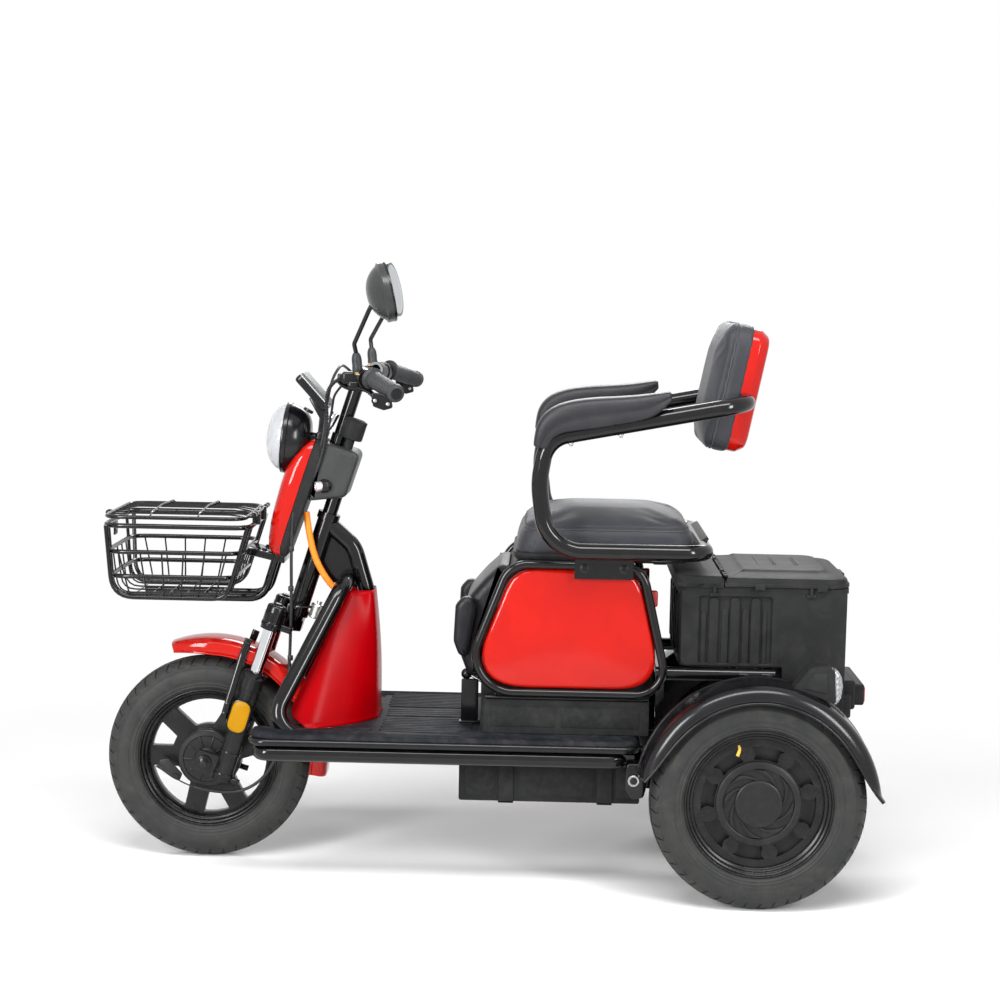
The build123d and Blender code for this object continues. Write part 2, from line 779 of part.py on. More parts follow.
def headlight():
    """The round lamp housing with its rim and the neck that carries it."""
    rim = Pos(0, 0, -14) * Cylinder(71, 14, align=low_end)
    cone = loft([Pos(0, 0, -12) * Circle(69), Pos(0, 0, -48) * Circle(38)])
    neck = Pos(0, 0, -74) * Cylinder(18, 28, align=low_end)
    return lamp_plane().location * (rim + cone + neck)


def headlight_lens():
    """The domed clear lens."""
    half, rise = 66.0, 37.0
    dome = (half**2 + rise**2) / (2 * rise)
    cap = (Pos(0, 0, rise - dome) * Sphere(dome)) & Cylinder(half, rise, align=low_end)
    return lamp_plane().location * cap


def basket_body(grow, floor_lift, rim_lift):
    """The basket's tapered outer or inner shape."""
    top, low = basket_rim + rim_lift, basket_floor + floor_lift
    front_low, rear_low = basket_low_front - grow, basket_low_rear + grow
    front_top, rear_top = basket_top_front - grow, basket_top_rear + grow
    foot = Rectangle(rear_low - front_low, 2 * (basket_half_low + grow))
    rim = Rectangle(rear_top - front_top, 2 * (basket_half_top + grow))
    foot = Pos((front_low + rear_low) / 2, 0, low) * foot
    return loft([foot, Pos((front_top + rear_top) / 2, 0, top) * rim])


def basket():
    """The tapered basket with its two carrier tubes, front hook and hinge pin."""
    tray = basket_body(0, 0, 0) - basket_body(-basket_wall, basket_wall, 6)
    for side in (-1, 1):
        carrier = [(-690, side * 38, 540), (-440, side * 38, 540), (-392, side * 38, 700)]
        tray += bent_tube(carrier, 8, [40])
        low, high = side * 46 - 8, side * 46 + 8
        tray += block((basket_top_rear - 6, low, 690), (basket_hinge_x + 4, high, basket_hinge_z + 4))
    tray += block((-767, -9, 664), (basket_top_front + 1, 9, basket_rim))
    x, z = basket_hinge_x, basket_hinge_z
    return tray + rod((x, -110, z), (x, 110, z), basket_pin_radius)


def basket_lid():
    """The flat lid over the basket, hinged at its rear edge."""
    x, z = basket_hinge_x, basket_hinge_z
    plate = block((-746, -146, basket_rim + 1.5), (x - 15, 146, basket_rim + 10.5))
    for side in (-1, 1):
        low, high = sorted((side * 66, side * 106))
        plate += block((x - 16, low, z - 4), (x, high, z + 3.5))
        plate += rod((x, low, z), (x, high, z), 5)
    return plate - rod((x, -120, z), (x, 120, z), basket_pin_radius + running_gap)


def brake_cables():
    """Sleeved cables from the levers to the console, and one down to the front brake."""
    route = [(-262, -160, 960), (-302, -128, 900), (-316, -80, 846), (-316, -54, 800)]
    lever = bent_tube(route, 4.5, [40, 24])
    front = [
        (-383, -58, 650),
        (-381, -58, 520),
        (-386, -58, 340),
        (-404, -57, 215),
        (-452, -54, 152),
        (-520, -51, 136),
        (-560, -51, 144),
    ]
    return lever + mirror(lever, Plane.XZ) + bent_tube(front, 3.5, [300, 300, 60, 60, 60])


def wiring_hose():
    """The ribbed wiring hose from the cowl, beside the head tube, into the leg shield."""
    route = [(-356, -32, 712), (-347, -32, 640), (-318, -32, 580), (-286, -32, 548), (-268, -32, 500)]
    return bent_tube(route, 7, [120, 120, 40])


# ---- assembly ----


front_centre = Pos(front_axle_x, 0, wheel_radius)
parts = {
    "main_frame": main_frame(),
    "leg_guard_hoop": leg_guard_hoop(),
    "deck_frame": deck_frame(),
    "rear_axle": rear_axle(),
    "rear_suspension": rear_suspension(),
    "carrier_rack": carrier_rack(),
    "seat_frame": seat_frame(),
    "footboard": footboard(),
    "leg_shield": leg_shield(),
    "battery_box": battery_box(),
    "seat_base": seat_base(),
    "side_panels": side_panel(-1) + side_panel(1),
    "seat_front_cover": seat_front_cover(),
    "seat_cushion": seat_cushion(),
    "armrest_hoop": armrest_hoop(),
    "arm_pads": arm_pad(-1) + arm_pad(1),
    "backrest_pad": backrest_pad(),
    "backrest_shell": backrest_shell(),
    "storage_box": storage_box(),
    "rear_fenders": rear_fender(-1) + rear_fender(1),
    "tail_lamps": tail_lamp(-1) + tail_lamp(1),
    "rear_bumper": rear_bumper(),
    "wiring_hose": wiring_hose(),
    "steering_stem": steering_stem(),
    "fork_stanchions": fork_stanchions(),
    "fork_lowers": fork_lowers(),
    "front_axle": front_axle(),
    "front_mudguard": front_mudguard(),
    "handlebar": handlebar(),
    "grips": grips(),
    "brake_levers": brake_levers(),
    "mirrors": mirrors(),
    "display": display(),
    "headlight": headlight(),
    "headlight_lens": headlight_lens(),
    "console_box": console_box(),
    "front_cowl": front_cowl(),
    "basket": basket(),
    "brake_cables": brake_cables(),
    "basket_lid": basket_lid(),
    "front_tyre": front_centre * tyre(),
    "front_rim": front_centre * front_rim(),
    "box_lid": box_lid(),
}
for name, side in (("left", -1), ("right", 1)):
    centre = Pos(rear_axle_x, side * half_track, wheel_radius)
    parts[f"rear_tyre_{name}"] = centre * tyre()
    parts[f"rear_rim_{name}"] = centre * rear_rim(side)

# each piece on the left is cut to fit round the pieces on its right
fitted_round = {
    "leg_guard_hoop": ["main_frame"],
    "deck_frame": ["main_frame"],
    "footboard": ["main_frame", "leg_guard_hoop"],
    "rear_suspension": ["deck_frame", "rear_axle"],
    "carrier_rack": ["deck_frame", "seat_frame", "side_panels"],
    "battery_box": ["deck_frame"],
    "arm_pads": ["armrest_hoop"],
    "backrest_shell": ["armrest_hoop"],
    "rear_fenders": ["carrier_rack"],
    "steering_stem": ["fork_stanchions", "handlebar"],
    "fork_lowers": ["fork_stanchions", "front_axle"],
    "front_mudguard": ["fork_lowers"],
    "grips": ["handlebar"],
    "brake_levers": ["handlebar"],
    "mirrors": ["handlebar", "brake_levers"],
    "display": ["steering_stem"],
    "console_box": ["steering_stem", "headlight"],
    "front_cowl": ["headlight"],
    "basket": ["front_cowl"],
    "brake_cables": ["brake_levers", "console_box", "front_cowl"],
}
for name, neighbours in fitted_round.items():
    for neighbour in neighbours:
        parts[name] -= parts[neighbour]

os.makedirs("parts", exist_ok=True)
for name, shape in parts.items():
    export_step(shape, f"parts/{name}.step")
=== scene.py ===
from math import cos, hypot, pi, radians, sin

import bmesh
import bpy
from mathutils import Matrix, Vector
from mathutils.bvhtree import BVHTree


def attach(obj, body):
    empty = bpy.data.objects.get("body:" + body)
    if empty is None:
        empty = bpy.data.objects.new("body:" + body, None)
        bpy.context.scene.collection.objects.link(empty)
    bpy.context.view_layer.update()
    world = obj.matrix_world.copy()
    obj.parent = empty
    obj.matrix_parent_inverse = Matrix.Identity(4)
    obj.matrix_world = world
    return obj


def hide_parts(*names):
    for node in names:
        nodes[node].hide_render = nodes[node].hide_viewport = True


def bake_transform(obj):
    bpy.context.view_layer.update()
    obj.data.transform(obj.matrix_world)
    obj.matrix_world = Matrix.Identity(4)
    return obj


# Electric three-wheeled leisure scooter. Shapes are drawn in millimetres and scaled at the end.
# +Z is up, the front wheel points to -X and the rider's left is -Y.

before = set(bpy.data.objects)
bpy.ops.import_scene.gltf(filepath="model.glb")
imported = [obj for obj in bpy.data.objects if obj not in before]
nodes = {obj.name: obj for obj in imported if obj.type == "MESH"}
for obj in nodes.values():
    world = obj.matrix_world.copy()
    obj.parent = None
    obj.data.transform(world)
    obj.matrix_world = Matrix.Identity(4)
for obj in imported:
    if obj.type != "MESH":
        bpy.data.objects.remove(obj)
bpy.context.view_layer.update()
print("frame loaded:", len(nodes), "nodes")

toMetres = 0.001
chassis, steering = "chassis", "steering"

# small tools for shaping


def local(origin, zAxis=(0, 0, 1), xAxis=None):  # a local frame as a matrix
    z = Vector(zAxis).normalized()
    guide = Vector(xAxis) if xAxis else Vector((1, 0, 0) if abs(z.x) < 0.9 else (0, 1, 0))
    y = z.cross(guide).normalized()
    frameMatrix = Matrix((y.cross(z), y, z)).transposed().to_4x4()
    frameMatrix.translation = Vector(origin)
    return frameMatrix


def sideFrame(origin=(0, 0, 0)):  # z towards the rider's left, x to the rear
    return local(origin, (0, -1, 0), (1, 0, 0))


def circlePoints(radius, count=96, start=0.0):
    turns = [start + 2 * pi * k / count for k in range(count)]
    return [(radius * cos(a), radius * sin(a)) for a in turns]


def polar(radius, degrees):
    return Vector((radius * cos(radians(degrees)), radius * sin(radians(degrees))))


def allOf(bm):
    return bm.verts[:] + bm.edges[:] + bm.faces[:]


def vertsOf(geom):
    return [v for v in geom if isinstance(v, bmesh.types.BMVert)]


def connected(verts):  # these vertices and all that hang on them
    grown = set(verts)
    stack = list(grown)
    while stack:
        near = {v for edge in stack.pop().link_edges for v in edge.verts} - grown
        grown |= near
        stack += near
    return grown


def addRing(bm, points, closed=True):  # a loop of edges through points
    verts = [bm.verts.new(p) for p in points]
    pairs = list(zip(verts, verts[1:]))
    if closed:
        pairs.append((verts[-1], verts[0]))
    return [bm.edges.new(pair) for pair in pairs]


def capRing(bm, edges):
    return bmesh.ops.edgenet_fill(bm, edges=edges)["faces"]


def pullOut(bm, faces, step):  # extrudes faces and gives back the vertices it moved
    top = vertsOf(bmesh.ops.extrude_face_region(bm, geom=faces)["geom"])
    bmesh.ops.translate(bm, vec=step, verts=top)
    return top


def loftRings(bm, rings, closed=True, cap=True):  # a skin over rings of points
    loops = [addRing(bm, ring, closed) for ring in rings]
    for near, far in zip(loops, loops[1:]):
        bmesh.ops.bridge_loops(bm, edges=near + far)
    if closed and cap:
        capRing(bm, loops[0])
        capRing(bm, loops[-1])
    return loops


def lathe(bm, profile, matrix=Matrix(), steps=64, closed=False):  # (radius, height) turned about local z
    edges = addRing(bm, [(r, 0, h) for r, h in profile], closed)
    verts = list({v for e in edges for v in e.verts})
    bmesh.ops.spin(bm, geom=verts + edges, cent=(0, 0, 0), axis=(0, 0, 1), angle=2 * pi, steps=steps, use_merge=True)
    turned = connected(v for e in edges for v in e.verts)
    poles = [v for v in turned if hypot(v.co.x, v.co.y) < 0.02]
    bmesh.ops.remove_doubles(bm, verts=poles, dist=0.05)
    bmesh.ops.transform(bm, matrix=matrix, verts=[v for v in turned if v.is_valid])


def bevelEdges(bm, edges, width, segments=3):
    if width and edges:
        bmesh.ops.bevel(bm, geom=edges, offset=width, offset_type="OFFSET", segments=segments, profile=0.5,
                        affect="EDGES", material=-1, clamp_overlap=True)


def sharpEdges(edges, limit=35):
    return [e for e in edges if e.is_valid and len(e.link_faces) == 2 and e.calc_face_angle(0) > radians(limit)]


def addBox(bm, low, high, width=1.5, segments=3, matrix=Matrix()):  # a box between corners, edges rounded
    size = [abs(b - a) for a, b in zip(low, high)]
    middle = [(a + b) / 2 for a, b in zip(low, high)]
    place = matrix @ Matrix.Translation(middle) @ Matrix.Diagonal((*size, 1))
    verts = bmesh.ops.create_cube(bm, size=1, matrix=place)["verts"]
    edges = list({e for v in verts for e in v.link_edges})
    bevelEdges(bm, edges, min(width, min(size) * 0.45), segments)


def addRod(bm, start, end, radius, radius2=None, steps=32, width=0.8):  # a round bar with softened ends
    start, end = Vector(start), Vector(end)
    length = (end - start).length
    r2 = radius if radius2 is None else radius2
    w = min(width, radius * 0.5, r2 * 0.5, length * 0.4)
    profile = [(0, 0), (radius - w, 0), (radius - w * 0.3, w * 0.3), (radius, w), (r2, length - w),
               (r2 - w * 0.3, length - w * 0.3), (r2 - w, length), (0, length)]
    lathe(bm, profile, local(start, end - start), steps)


def addPlate(bm, outline, low, high, width=1.5, segments=3):  # (x, z) outline from y low to y high
    edges = addRing(bm, [(x, low, z) for x, z in outline])
    top = pullOut(bm, capRing(bm, edges), (0, high - low, 0))
    near = {e for v in [v for e in edges for v in e.verts] + top for e in v.link_edges}
    bevelEdges(bm, sharpEdges(near), width, segments)


def webPlate(bm, outline, holes, low, high, place, width=1.8):  # a flat web with holes, edges rounded
    edges = [e for ring in [outline, *holes] for e in addRing(bm, [(p[0], p[1], low) for p in ring])]
    filled = bmesh.ops.triangle_fill(bm, use_beauty=True, use_dissolve=True, edges=edges, normal=(0, 0, 1))["geom"]
    top = pullOut(bm, [f for f in filled if isinstance(f, bmesh.types.BMFace)], (0, 0, high - low))
    base = {v for e in edges if e.is_valid for v in e.verts}
    bevelEdges(bm, sharpEdges({e for v in [*base, *top] for e in v.link_edges}, 50), width, 3)
    verts = [v for v in bm.verts if v.is_valid and abs(v.co.z - low) < (high - low) + 5]
    bmesh.ops.transform(bm, matrix=place, verts=verts)


def bentPath(points, bends, closed=False, steps=7):  # straight runs with rounded bends
    points = [Vector(p) for p in points]
    count = len(points)
    bends = bends if isinstance(bends, (list, tuple)) else [bends] * count
    if not closed:
        bends = [0, *bends[: count - 2], 0]
    path = []
    for i, here in enumerate(points):
        if not closed and i in (0, count - 1):
            path.append(here)
            continue
        before, after = points[i - 1] - here, points[(i + 1) % count] - here
        half = before.angle(after) / 2
        reach = min(bends[i] / max(sin(half) / cos(half), 1e-6), before.length * 0.49, after.length * 0.49)
        start, end = here + before.normalized() * reach, here + after.normalized() * reach
        for k in range(steps + 1):
            t = k / steps
            path.append(start * (1 - t) ** 2 + here * 2 * t * (1 - t) + end * t * t)
    return path


def roundCorners(corners, bends, steps=6):  # a closed outline whose corners are arcs
    return bentPath(corners, bends, True, steps)


def splinePath(points, resolution=12):  # a flexible piece's line, read from its smooth spline
    data = bpy.data.curves.new("route", "CURVE")
    data.dimensions = "3D"
    spline = data.splines.new("NURBS")
    spline.points.add(len(points) - 1)
    for knot, p in zip(spline.points, points):
        knot.co = (*p, 1)
    spline.order_u = 3
    spline.use_endpoint_u = True
    spline.resolution_u = resolution
    holder = bpy.data.objects.new("route", data)
    mesh = bpy.data.meshes.new_from_object(holder)
    line = [v.co.copy() for v in mesh.vertices]
    bpy.data.objects.remove(holder)
    bpy.data.curves.remove(data)
    bpy.data.meshes.remove(mesh)
    return line


def resample(path, step):  # points at an even distance along a line
    path = [Vector(p) for p in path]
    lengths = [(b - a).length for a, b in zip(path, path[1:])]
    total = sum(lengths)
    count = max(2, round(total / step))
    made, run, i = [], 0.0, 0
    for k in range(count + 1):
        want = total * k / count
        while i < len(lengths) - 1 and run + lengths[i] < want:
            run += lengths[i]
            i += 1
        t = 0 if lengths[i] < 1e-9 else min(1, (want - run) / lengths[i])
        made.append(path[i].lerp(path[i + 1], t))
    return made


def addTube(bm, path, radius, steps=16, closed=False, flat=1.0, upHint=None):
    # a skin of rings along a line; radius is a number or one number for each point
    path = [Vector(p) for p in path]
    if not closed:
        path = [p for k, p in enumerate(path) if k == 0 or (p - path[k - 1]).length > 1e-4]
    count = len(path)
    radii = radius if isinstance(radius, (list, tuple)) else [radius] * count
    rings, side = [], None
    for i, here in enumerate(path):
        ends = (i - 1, (i + 1) % count) if closed else (max(i - 1, 0), min(i + 1, count - 1))
        along = (path[ends[1]] - path[ends[0]]).normalized()
        if side is None or upHint:
            guide = Vector(upHint) if upHint else Vector((0, 0, 1) if abs(along.z) < 0.8 else (0, 1, 0))
            side = along.cross(guide).normalized()
        else:
            side = (side - along * side.dot(along)).normalized()
        other = along.cross(side) * flat
        rings.append([here + side * u + other * v for u, v in circlePoints(radii[i], steps)])
    loops = loftRings(bm, rings, cap=not closed)
    if closed:
        bmesh.ops.bridge_loops(bm, edges=loops[-1] + loops[0])


boltHeads = {   # (share of radius, share of height, drop): hex is six-sided, cap has a socket, dome is a button
    "hex": [(0, 0, 0), (1.12, 0, 0), (1.12, 1, 0.7), (0.96, 1, 0), (0, 1, 0)],
    "cap": [(0, 0, 0), (1, 0, 0), (1, 1, 0.6), (None, 1, 0), (0.62, 1, 0), (0.58, 1, 0.3), (0.56, 0.45, 0),
            (0, 0.45, 0)],
    "dome": [(0, 0, 0), (1, 0, 0), (0.97, 0.35, 0), (0.8, 0.8, 0), (0.5, 1, 0), (0.42, 1, 0), (0.38, 0.6, 0),
             (0, 0.6, 0)],
}


def addBolt(bm, at, along, radius=5.0, height=4.0, kind="hex", washer=True):
    place = local(at, along)
    lift = 0
    if washer:
        lift = 1.2
        ring = [(0, 0), (1.45, 0), (1.5, 0.3), (1.5, 0.9), (1.4, lift), (0, lift)]
        lathe(bm, [(radius * r, h) for r, h in ring], place, 24)
    head = [(radius - 0.6 if r is None else radius * r, lift + height * h - drop) for r, h, drop in boltHeads[kind]]
    lathe(bm, head, place, 6 if kind == "hex" else 24)


def faceUp(bm):  # an open skin's faces turned so that its crest looks up
    bmesh.ops.recalc_face_normals(bm, faces=bm.faces)
    if max(bm.faces, key=lambda f: f.calc_center_median().z).normal.z < 0:
        bmesh.ops.reverse_faces(bm, faces=bm.faces)


def boxesRound(bm, count, low, high, width, segments, place):  # the same small box again round local z
    for k in range(count):
        addBox(bm, low, high, width, segments, place @ Matrix.Rotation(2 * pi * k / count, 4, "Z"))


def sideBolts(bm, places, *size):  # bolts at (x, y, z) on each side of the machine, heads outwards
    for side in (-1, 1):
        for x, y, z in places:
            addBolt(bm, (x, side * y, z), (0, side, 0), *size)


def mirrorAll(bm):  # the same again on the rider's other side
    bmesh.ops.mirror(bm, geom=allOf(bm), matrix=Matrix(), merge_dist=0.0, axis="Y")


def turnedCopies(bm, geom, count, matrix):  # the same again round a local z axis
    axis = matrix.to_3x3() @ Vector((0, 0, 1))
    bmesh.ops.spin(bm, geom=geom, cent=matrix.translation, axis=axis, angle=2 * pi * (count - 1) / count,
                   steps=count - 1, use_duplicate=True)


def newObject(name, data):
    made = bpy.data.objects.new(name, data)
    bpy.context.scene.collection.objects.link(made)
    return made


def meshPiece(name, bm):  # scales a drawn shape and makes it an object
    bmesh.ops.scale(bm, vec=(toMetres,) * 3, verts=bm.verts)
    mesh = bpy.data.meshes.new(name)
    bm.to_mesh(mesh)
    bm.free()
    return newObject(name, mesh)


def dress(piece, look, body, replaces=()):  # finish, body and the CAD nodes it stands for
    piece.data.materials.clear()
    piece.data.materials.append(finish[look])
    if body:
        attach(piece, body)
    if replaces:
        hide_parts(*replaces)


def newPiece(name, bm, look, body, replaces=(), sharp=38, merge=0.001, outward=True):
    if merge:
        bmesh.ops.remove_doubles(bm, verts=bm.verts, dist=merge)
    if outward:
        bmesh.ops.recalc_face_normals(bm, faces=bm.faces)
    piece = meshPiece(name, bm)
    piece.data.shade_smooth()
    piece.data.set_sharp_from_angle(angle=radians(sharp))
    dress(piece, look, body, replaces)
    return piece


def shell(piece, thickness):  # gives an open skin its wall
    wall = piece.modifiers.new("wall", "SOLIDIFY")
    wall.thickness = thickness * toMetres
    wall.offset = -1.0
    wall.use_even_offset = True


def smoothed(piece, levels=1):
    soft = piece.modifiers.new("smoothed", "SUBSURF")
    soft.levels = levels
    soft.render_levels = levels


steeringRake = radians(17.4)
steeringFoot = Vector((-534, 0, 0))
steeringAxis = Vector((sin(steeringRake), 0, cos(steeringRake)))
steeringAhead = Vector((-cos(steeringRake), 0, sin(steeringRake)))


def steerPoint(along, ahead=0.0, side=0.0):  # a place in the steering frame
    return steeringFoot + steeringAxis * along + steeringAhead * ahead + Vector((0, side, 0))


def steerFrame(along, ahead=0.0, side=0.0):
    return local(steerPoint(along, ahead, side), steeringAxis, steeringAhead)


def movedIn(outline, amount):  # a closed flat outline moved in evenly
    count = len(outline)
    turn = sum(a.x * b.y - b.x * a.y for a, b in zip(outline, outline[1:] + outline[:1]))
    sense = 1 if turn > 0 else -1
    made = []
    for i, here in enumerate(outline):
        along = (outline[(i + 1) % count] - outline[i - 1]).normalized()
        made.append(here + Vector((-along.y, along.x)) * amount * sense)
    return made


def evenOutline(corners, bends, step=8):  # rounded corners, with points at an even distance all round
    outline = roundCorners(corners, bends, 8)
    return resample(outline + outline[:1], step)[:-1]


def rectangle(low, high, half):  # corners from x low to high, half as wide each side
    return [(low, -half), (high, -half), (high, half), (low, half)]


def layered(bm, outline, layers, crown=(), matrix=Matrix()):
    # a closed body: rings moved in by (amount, height), then shrunk to the middle by (share, height)
    rings = [[matrix @ Vector((*p, height)) for p in movedIn(outline, amount)] for amount, height in layers]
    last = movedIn(outline, layers[-1][0])
    middle = sum(last, Vector((0, 0))) / len(last)
    rings += [[matrix @ Vector((*(middle + (p - middle) * share), height)) for p in last] for share, height in crown]
    loftRings(bm, rings)


def blend(table, value):  # reads numbers between the rows of a table whose first column rises
    for low, high in zip(table, table[1:]):
        if value <= high[0]:
            t = max(0.0, (value - low[0]) / (high[0] - low[0]))
            return [a + (b - a) * t for a, b in zip(low[1:], high[1:])]
    return list(table[-1][1:])

# shared node groups


def feed(tree, node, links):  # links or sets a node's inputs
    for socket, source in links:
        if isinstance(source, bpy.types.NodeSocket):
            tree.links.new(source, node.inputs[socket])
        else:
            node.inputs[socket].default_value = source


def addNode(tree, kind, links=(), **values):
    node = tree.nodes.new(kind)
    for key, value in values.items():
        setattr(node, key, value)
    feed(tree, node, links)
    return node


def mathNode(tree, operation, first, second=0.0, clamp=False):
    return addNode(tree, "ShaderNodeMath", [(0, first), (1, second)], operation=operation, use_clamp=clamp).outputs[0]


def times(tree, first, second, clamp=False):
    return mathNode(tree, "MULTIPLY", first, second, clamp)


def plus(tree, first, second, clamp=False):
    return mathNode(tree, "ADD", first, second, clamp)


def noiseNode(tree, vector, scale, detail=3.0, rough=0.5, distortion=0.0):
    links = [("Vector", vector), ("Scale", scale), ("Detail", detail), ("Roughness", rough), ("Distortion", distortion)]
    return addNode(tree, "ShaderNodeTexNoise", links).outputs["Fac"]


def mixColors(tree, factor, first, second):
    links = [(0, factor), (6, first), (7, second)]
    return addNode(tree, "ShaderNodeMix", links, data_type="RGBA", clamp_factor=True).outputs[2]


def rampNode(tree, factor, low, high):  # a soft step between two levels
    links = [("Value", factor), ("From Min", low), ("From Max", high), ("To Min", 0.0), ("To Max", 1.0)]
    return addNode(tree, "ShaderNodeMapRange", links, interpolation_type="SMOOTHSTEP", clamp=True).outputs[0]


def objectPlace(tree):
    return addNode(tree, "ShaderNodeTexCoord").outputs["Object"]


def newGroup(name, inputs, build):  # inputs are values by label; build draws the inside and gives its outputs
    group = bpy.data.node_groups.new(name, "ShaderNodeTree")
    kinds = {True: "NodeSocketColor", False: "NodeSocketFloat"}
    for label, value in inputs.items():
        kind = kinds[isinstance(value, tuple)]
        group.interface.new_socket(name=label, in_out="INPUT", socket_type=kind).default_value = value
    start, end = group.nodes.new("NodeGroupInput"), group.nodes.new("NodeGroupOutput")
    for label, source in build(group, objectPlace(group), start.outputs).items():
        group.interface.new_socket(name=label, in_out="OUTPUT", socket_type=kinds[label == "Color"])
        group.links.new(source, end.inputs[label])
    return group


def lacquerWaves(tree, place, given):  # the faint waviness and specks of sprayed lacquer
    scale = given["Scale"]
    fine, broad = noiseNode(tree, place, scale, 2.0, 0.45), noiseNode(tree, place, times(tree, scale, 0.12), 1.0, 0.4)
    return {"Height": plus(tree, times(tree, fine, 0.5), broad)}


def mouldStipple(tree, place, given):  # the stippled skin of moulded plastic
    scale = given["Scale"]
    cells = addNode(tree, "ShaderNodeTexVoronoi", [("Vector", place), ("Scale", scale)],
                    feature="SMOOTH_F1").outputs["Distance"]
    noise = noiseNode(tree, place, times(tree, scale, 0.6), 4.0, 0.6)
    flow = noiseNode(tree, place, times(tree, scale, 0.012), 3.0, 0.55, 0.6)
    return {"Height": plus(tree, times(tree, cells, 0.6), noise), "Tint": flow}


def vinylGrain(tree, place, given):  # pebbled grain of coated seat fabric
    scale = given["Scale"]
    wobble = noiseNode(tree, place, times(tree, scale, 0.35), 2.0, 0.5)
    shift = addNode(tree, "ShaderNodeVectorMath", [(0, wobble), (1, (0.0015, 0.0015, 0.0015)), (2, place)],
                    operation="MULTIPLY_ADD")
    edges = addNode(tree, "ShaderNodeTexVoronoi", [("Vector", shift.outputs[0]), ("Scale", scale)],
                    feature="DISTANCE_TO_EDGE").outputs["Distance"]
    wrinkles = noiseNode(tree, place, times(tree, scale, 0.06), 4.0, 0.62, 0.8)
    return {"Height": plus(tree, rampNode(tree, edges, 0.0, 0.32), times(tree, wrinkles, 0.9)), "Tint": wrinkles}


def drawnLines(tree, place, given):  # fine lines of drawn or turned metal
    scale = given["Scale"]
    long = addNode(tree, "ShaderNodeMapping", [("Vector", place), ("Scale", (1.0, 1.0, 0.05))]).outputs[0]
    lines = noiseNode(tree, long, times(tree, scale, 6.0), 3.0, 0.6)
    return {"Height": lines, "Tint": noiseNode(tree, place, times(tree, scale, 0.15), 3.0, 0.5)}


def shadeDrift(tree, place, given):  # slow change between two shades of one colour
    drift = rampNode(tree, noiseNode(tree, place, given["Scale"], 5.0, 0.6, 0.4), 0.36, 0.66)
    return {"Color": mixColors(tree, drift, given["Color"], given["Second"])}


def handledGloss(tree, place, given):  # roughness that varies with handling
    patches = mathNode(tree, "SUBTRACT", noiseNode(tree, place, given["Scale"], 4.0, 0.6, 0.3), 0.5)
    return {"Roughness": plus(tree, times(tree, patches, given["Spread"]), given["Base"], True)}


def settledDust(tree, place, given):  # pale dust that settles on faces that look up, and in blotches
    normal = addNode(tree, "ShaderNodeNewGeometry").outputs["Normal"]
    up = addNode(tree, "ShaderNodeSeparateXYZ", [(0, normal)]).outputs["Z"]
    facing = plus(tree, times(tree, mathNode(tree, "MAXIMUM", up, 0.0), given["Upward"]), 1.0)
    spots = rampNode(tree, noiseNode(tree, place, given["Scale"], 8.0, 0.7, 0.5), 0.42, 0.78)
    specks = rampNode(tree, noiseNode(tree, place, times(tree, given["Scale"], 22.0), 2.0, 0.6), 0.62, 0.8)
    both = plus(tree, spots, times(tree, specks, 0.6))
    mask = times(tree, times(tree, both, facing), given["Amount"], True)
    return {"Color": mixColors(tree, mask, given["Color"], given["Dust"]), "Mask": mask}


def wornAndLitEdges(tree, place, given):  # edges and raised details painted a little lighter: partly rubbed wear, partly a painted highlight where edges catch the light
    corner = rampNode(tree, addNode(tree, "ShaderNodeNewGeometry").outputs["Pointiness"], 0.52, 0.6)
    broken = rampNode(tree, noiseNode(tree, place, 90.0, 5.0, 0.65), 0.4, 0.65)
    mask = times(tree, times(tree, corner, broken), given["Amount"], True)
    return {"Color": mixColors(tree, mask, given["Color"], given["Rubbed"]), "Mask": mask}


groups = {kind: newGroup(build.__name__, inputs, build) for kind, build, inputs in (
    ("lacquer", lacquerWaves, {"Scale": 300.0}),
    ("mould", mouldStipple, {"Scale": 900.0}),
    ("leather", vinylGrain, {"Scale": 520.0}),
    ("brushed", drawnLines, {"Scale": 200.0}),
    ("cloud", shadeDrift, {"Color": (0.5, 0.5, 0.5, 1), "Second": (0.4, 0.4, 0.4, 1), "Scale": 12.0}),
    ("gloss", handledGloss, {"Base": 0.4, "Spread": 0.1, "Scale": 25.0}),
    ("dust", settledDust, {"Color": (0.1, 0.1, 0.1, 1), "Dust": (0.3, 0.28, 0.25, 1), "Amount": 0.1, "Upward": 0.5,
                           "Scale": 30.0}),
    ("edgeWearAndLight", wornAndLitEdges, {"Color": (0.1, 0.1, 0.1, 1), "Rubbed": (0.3, 0.3, 0.3, 1), "Amount": 0.3}),
)}
print("node groups built")
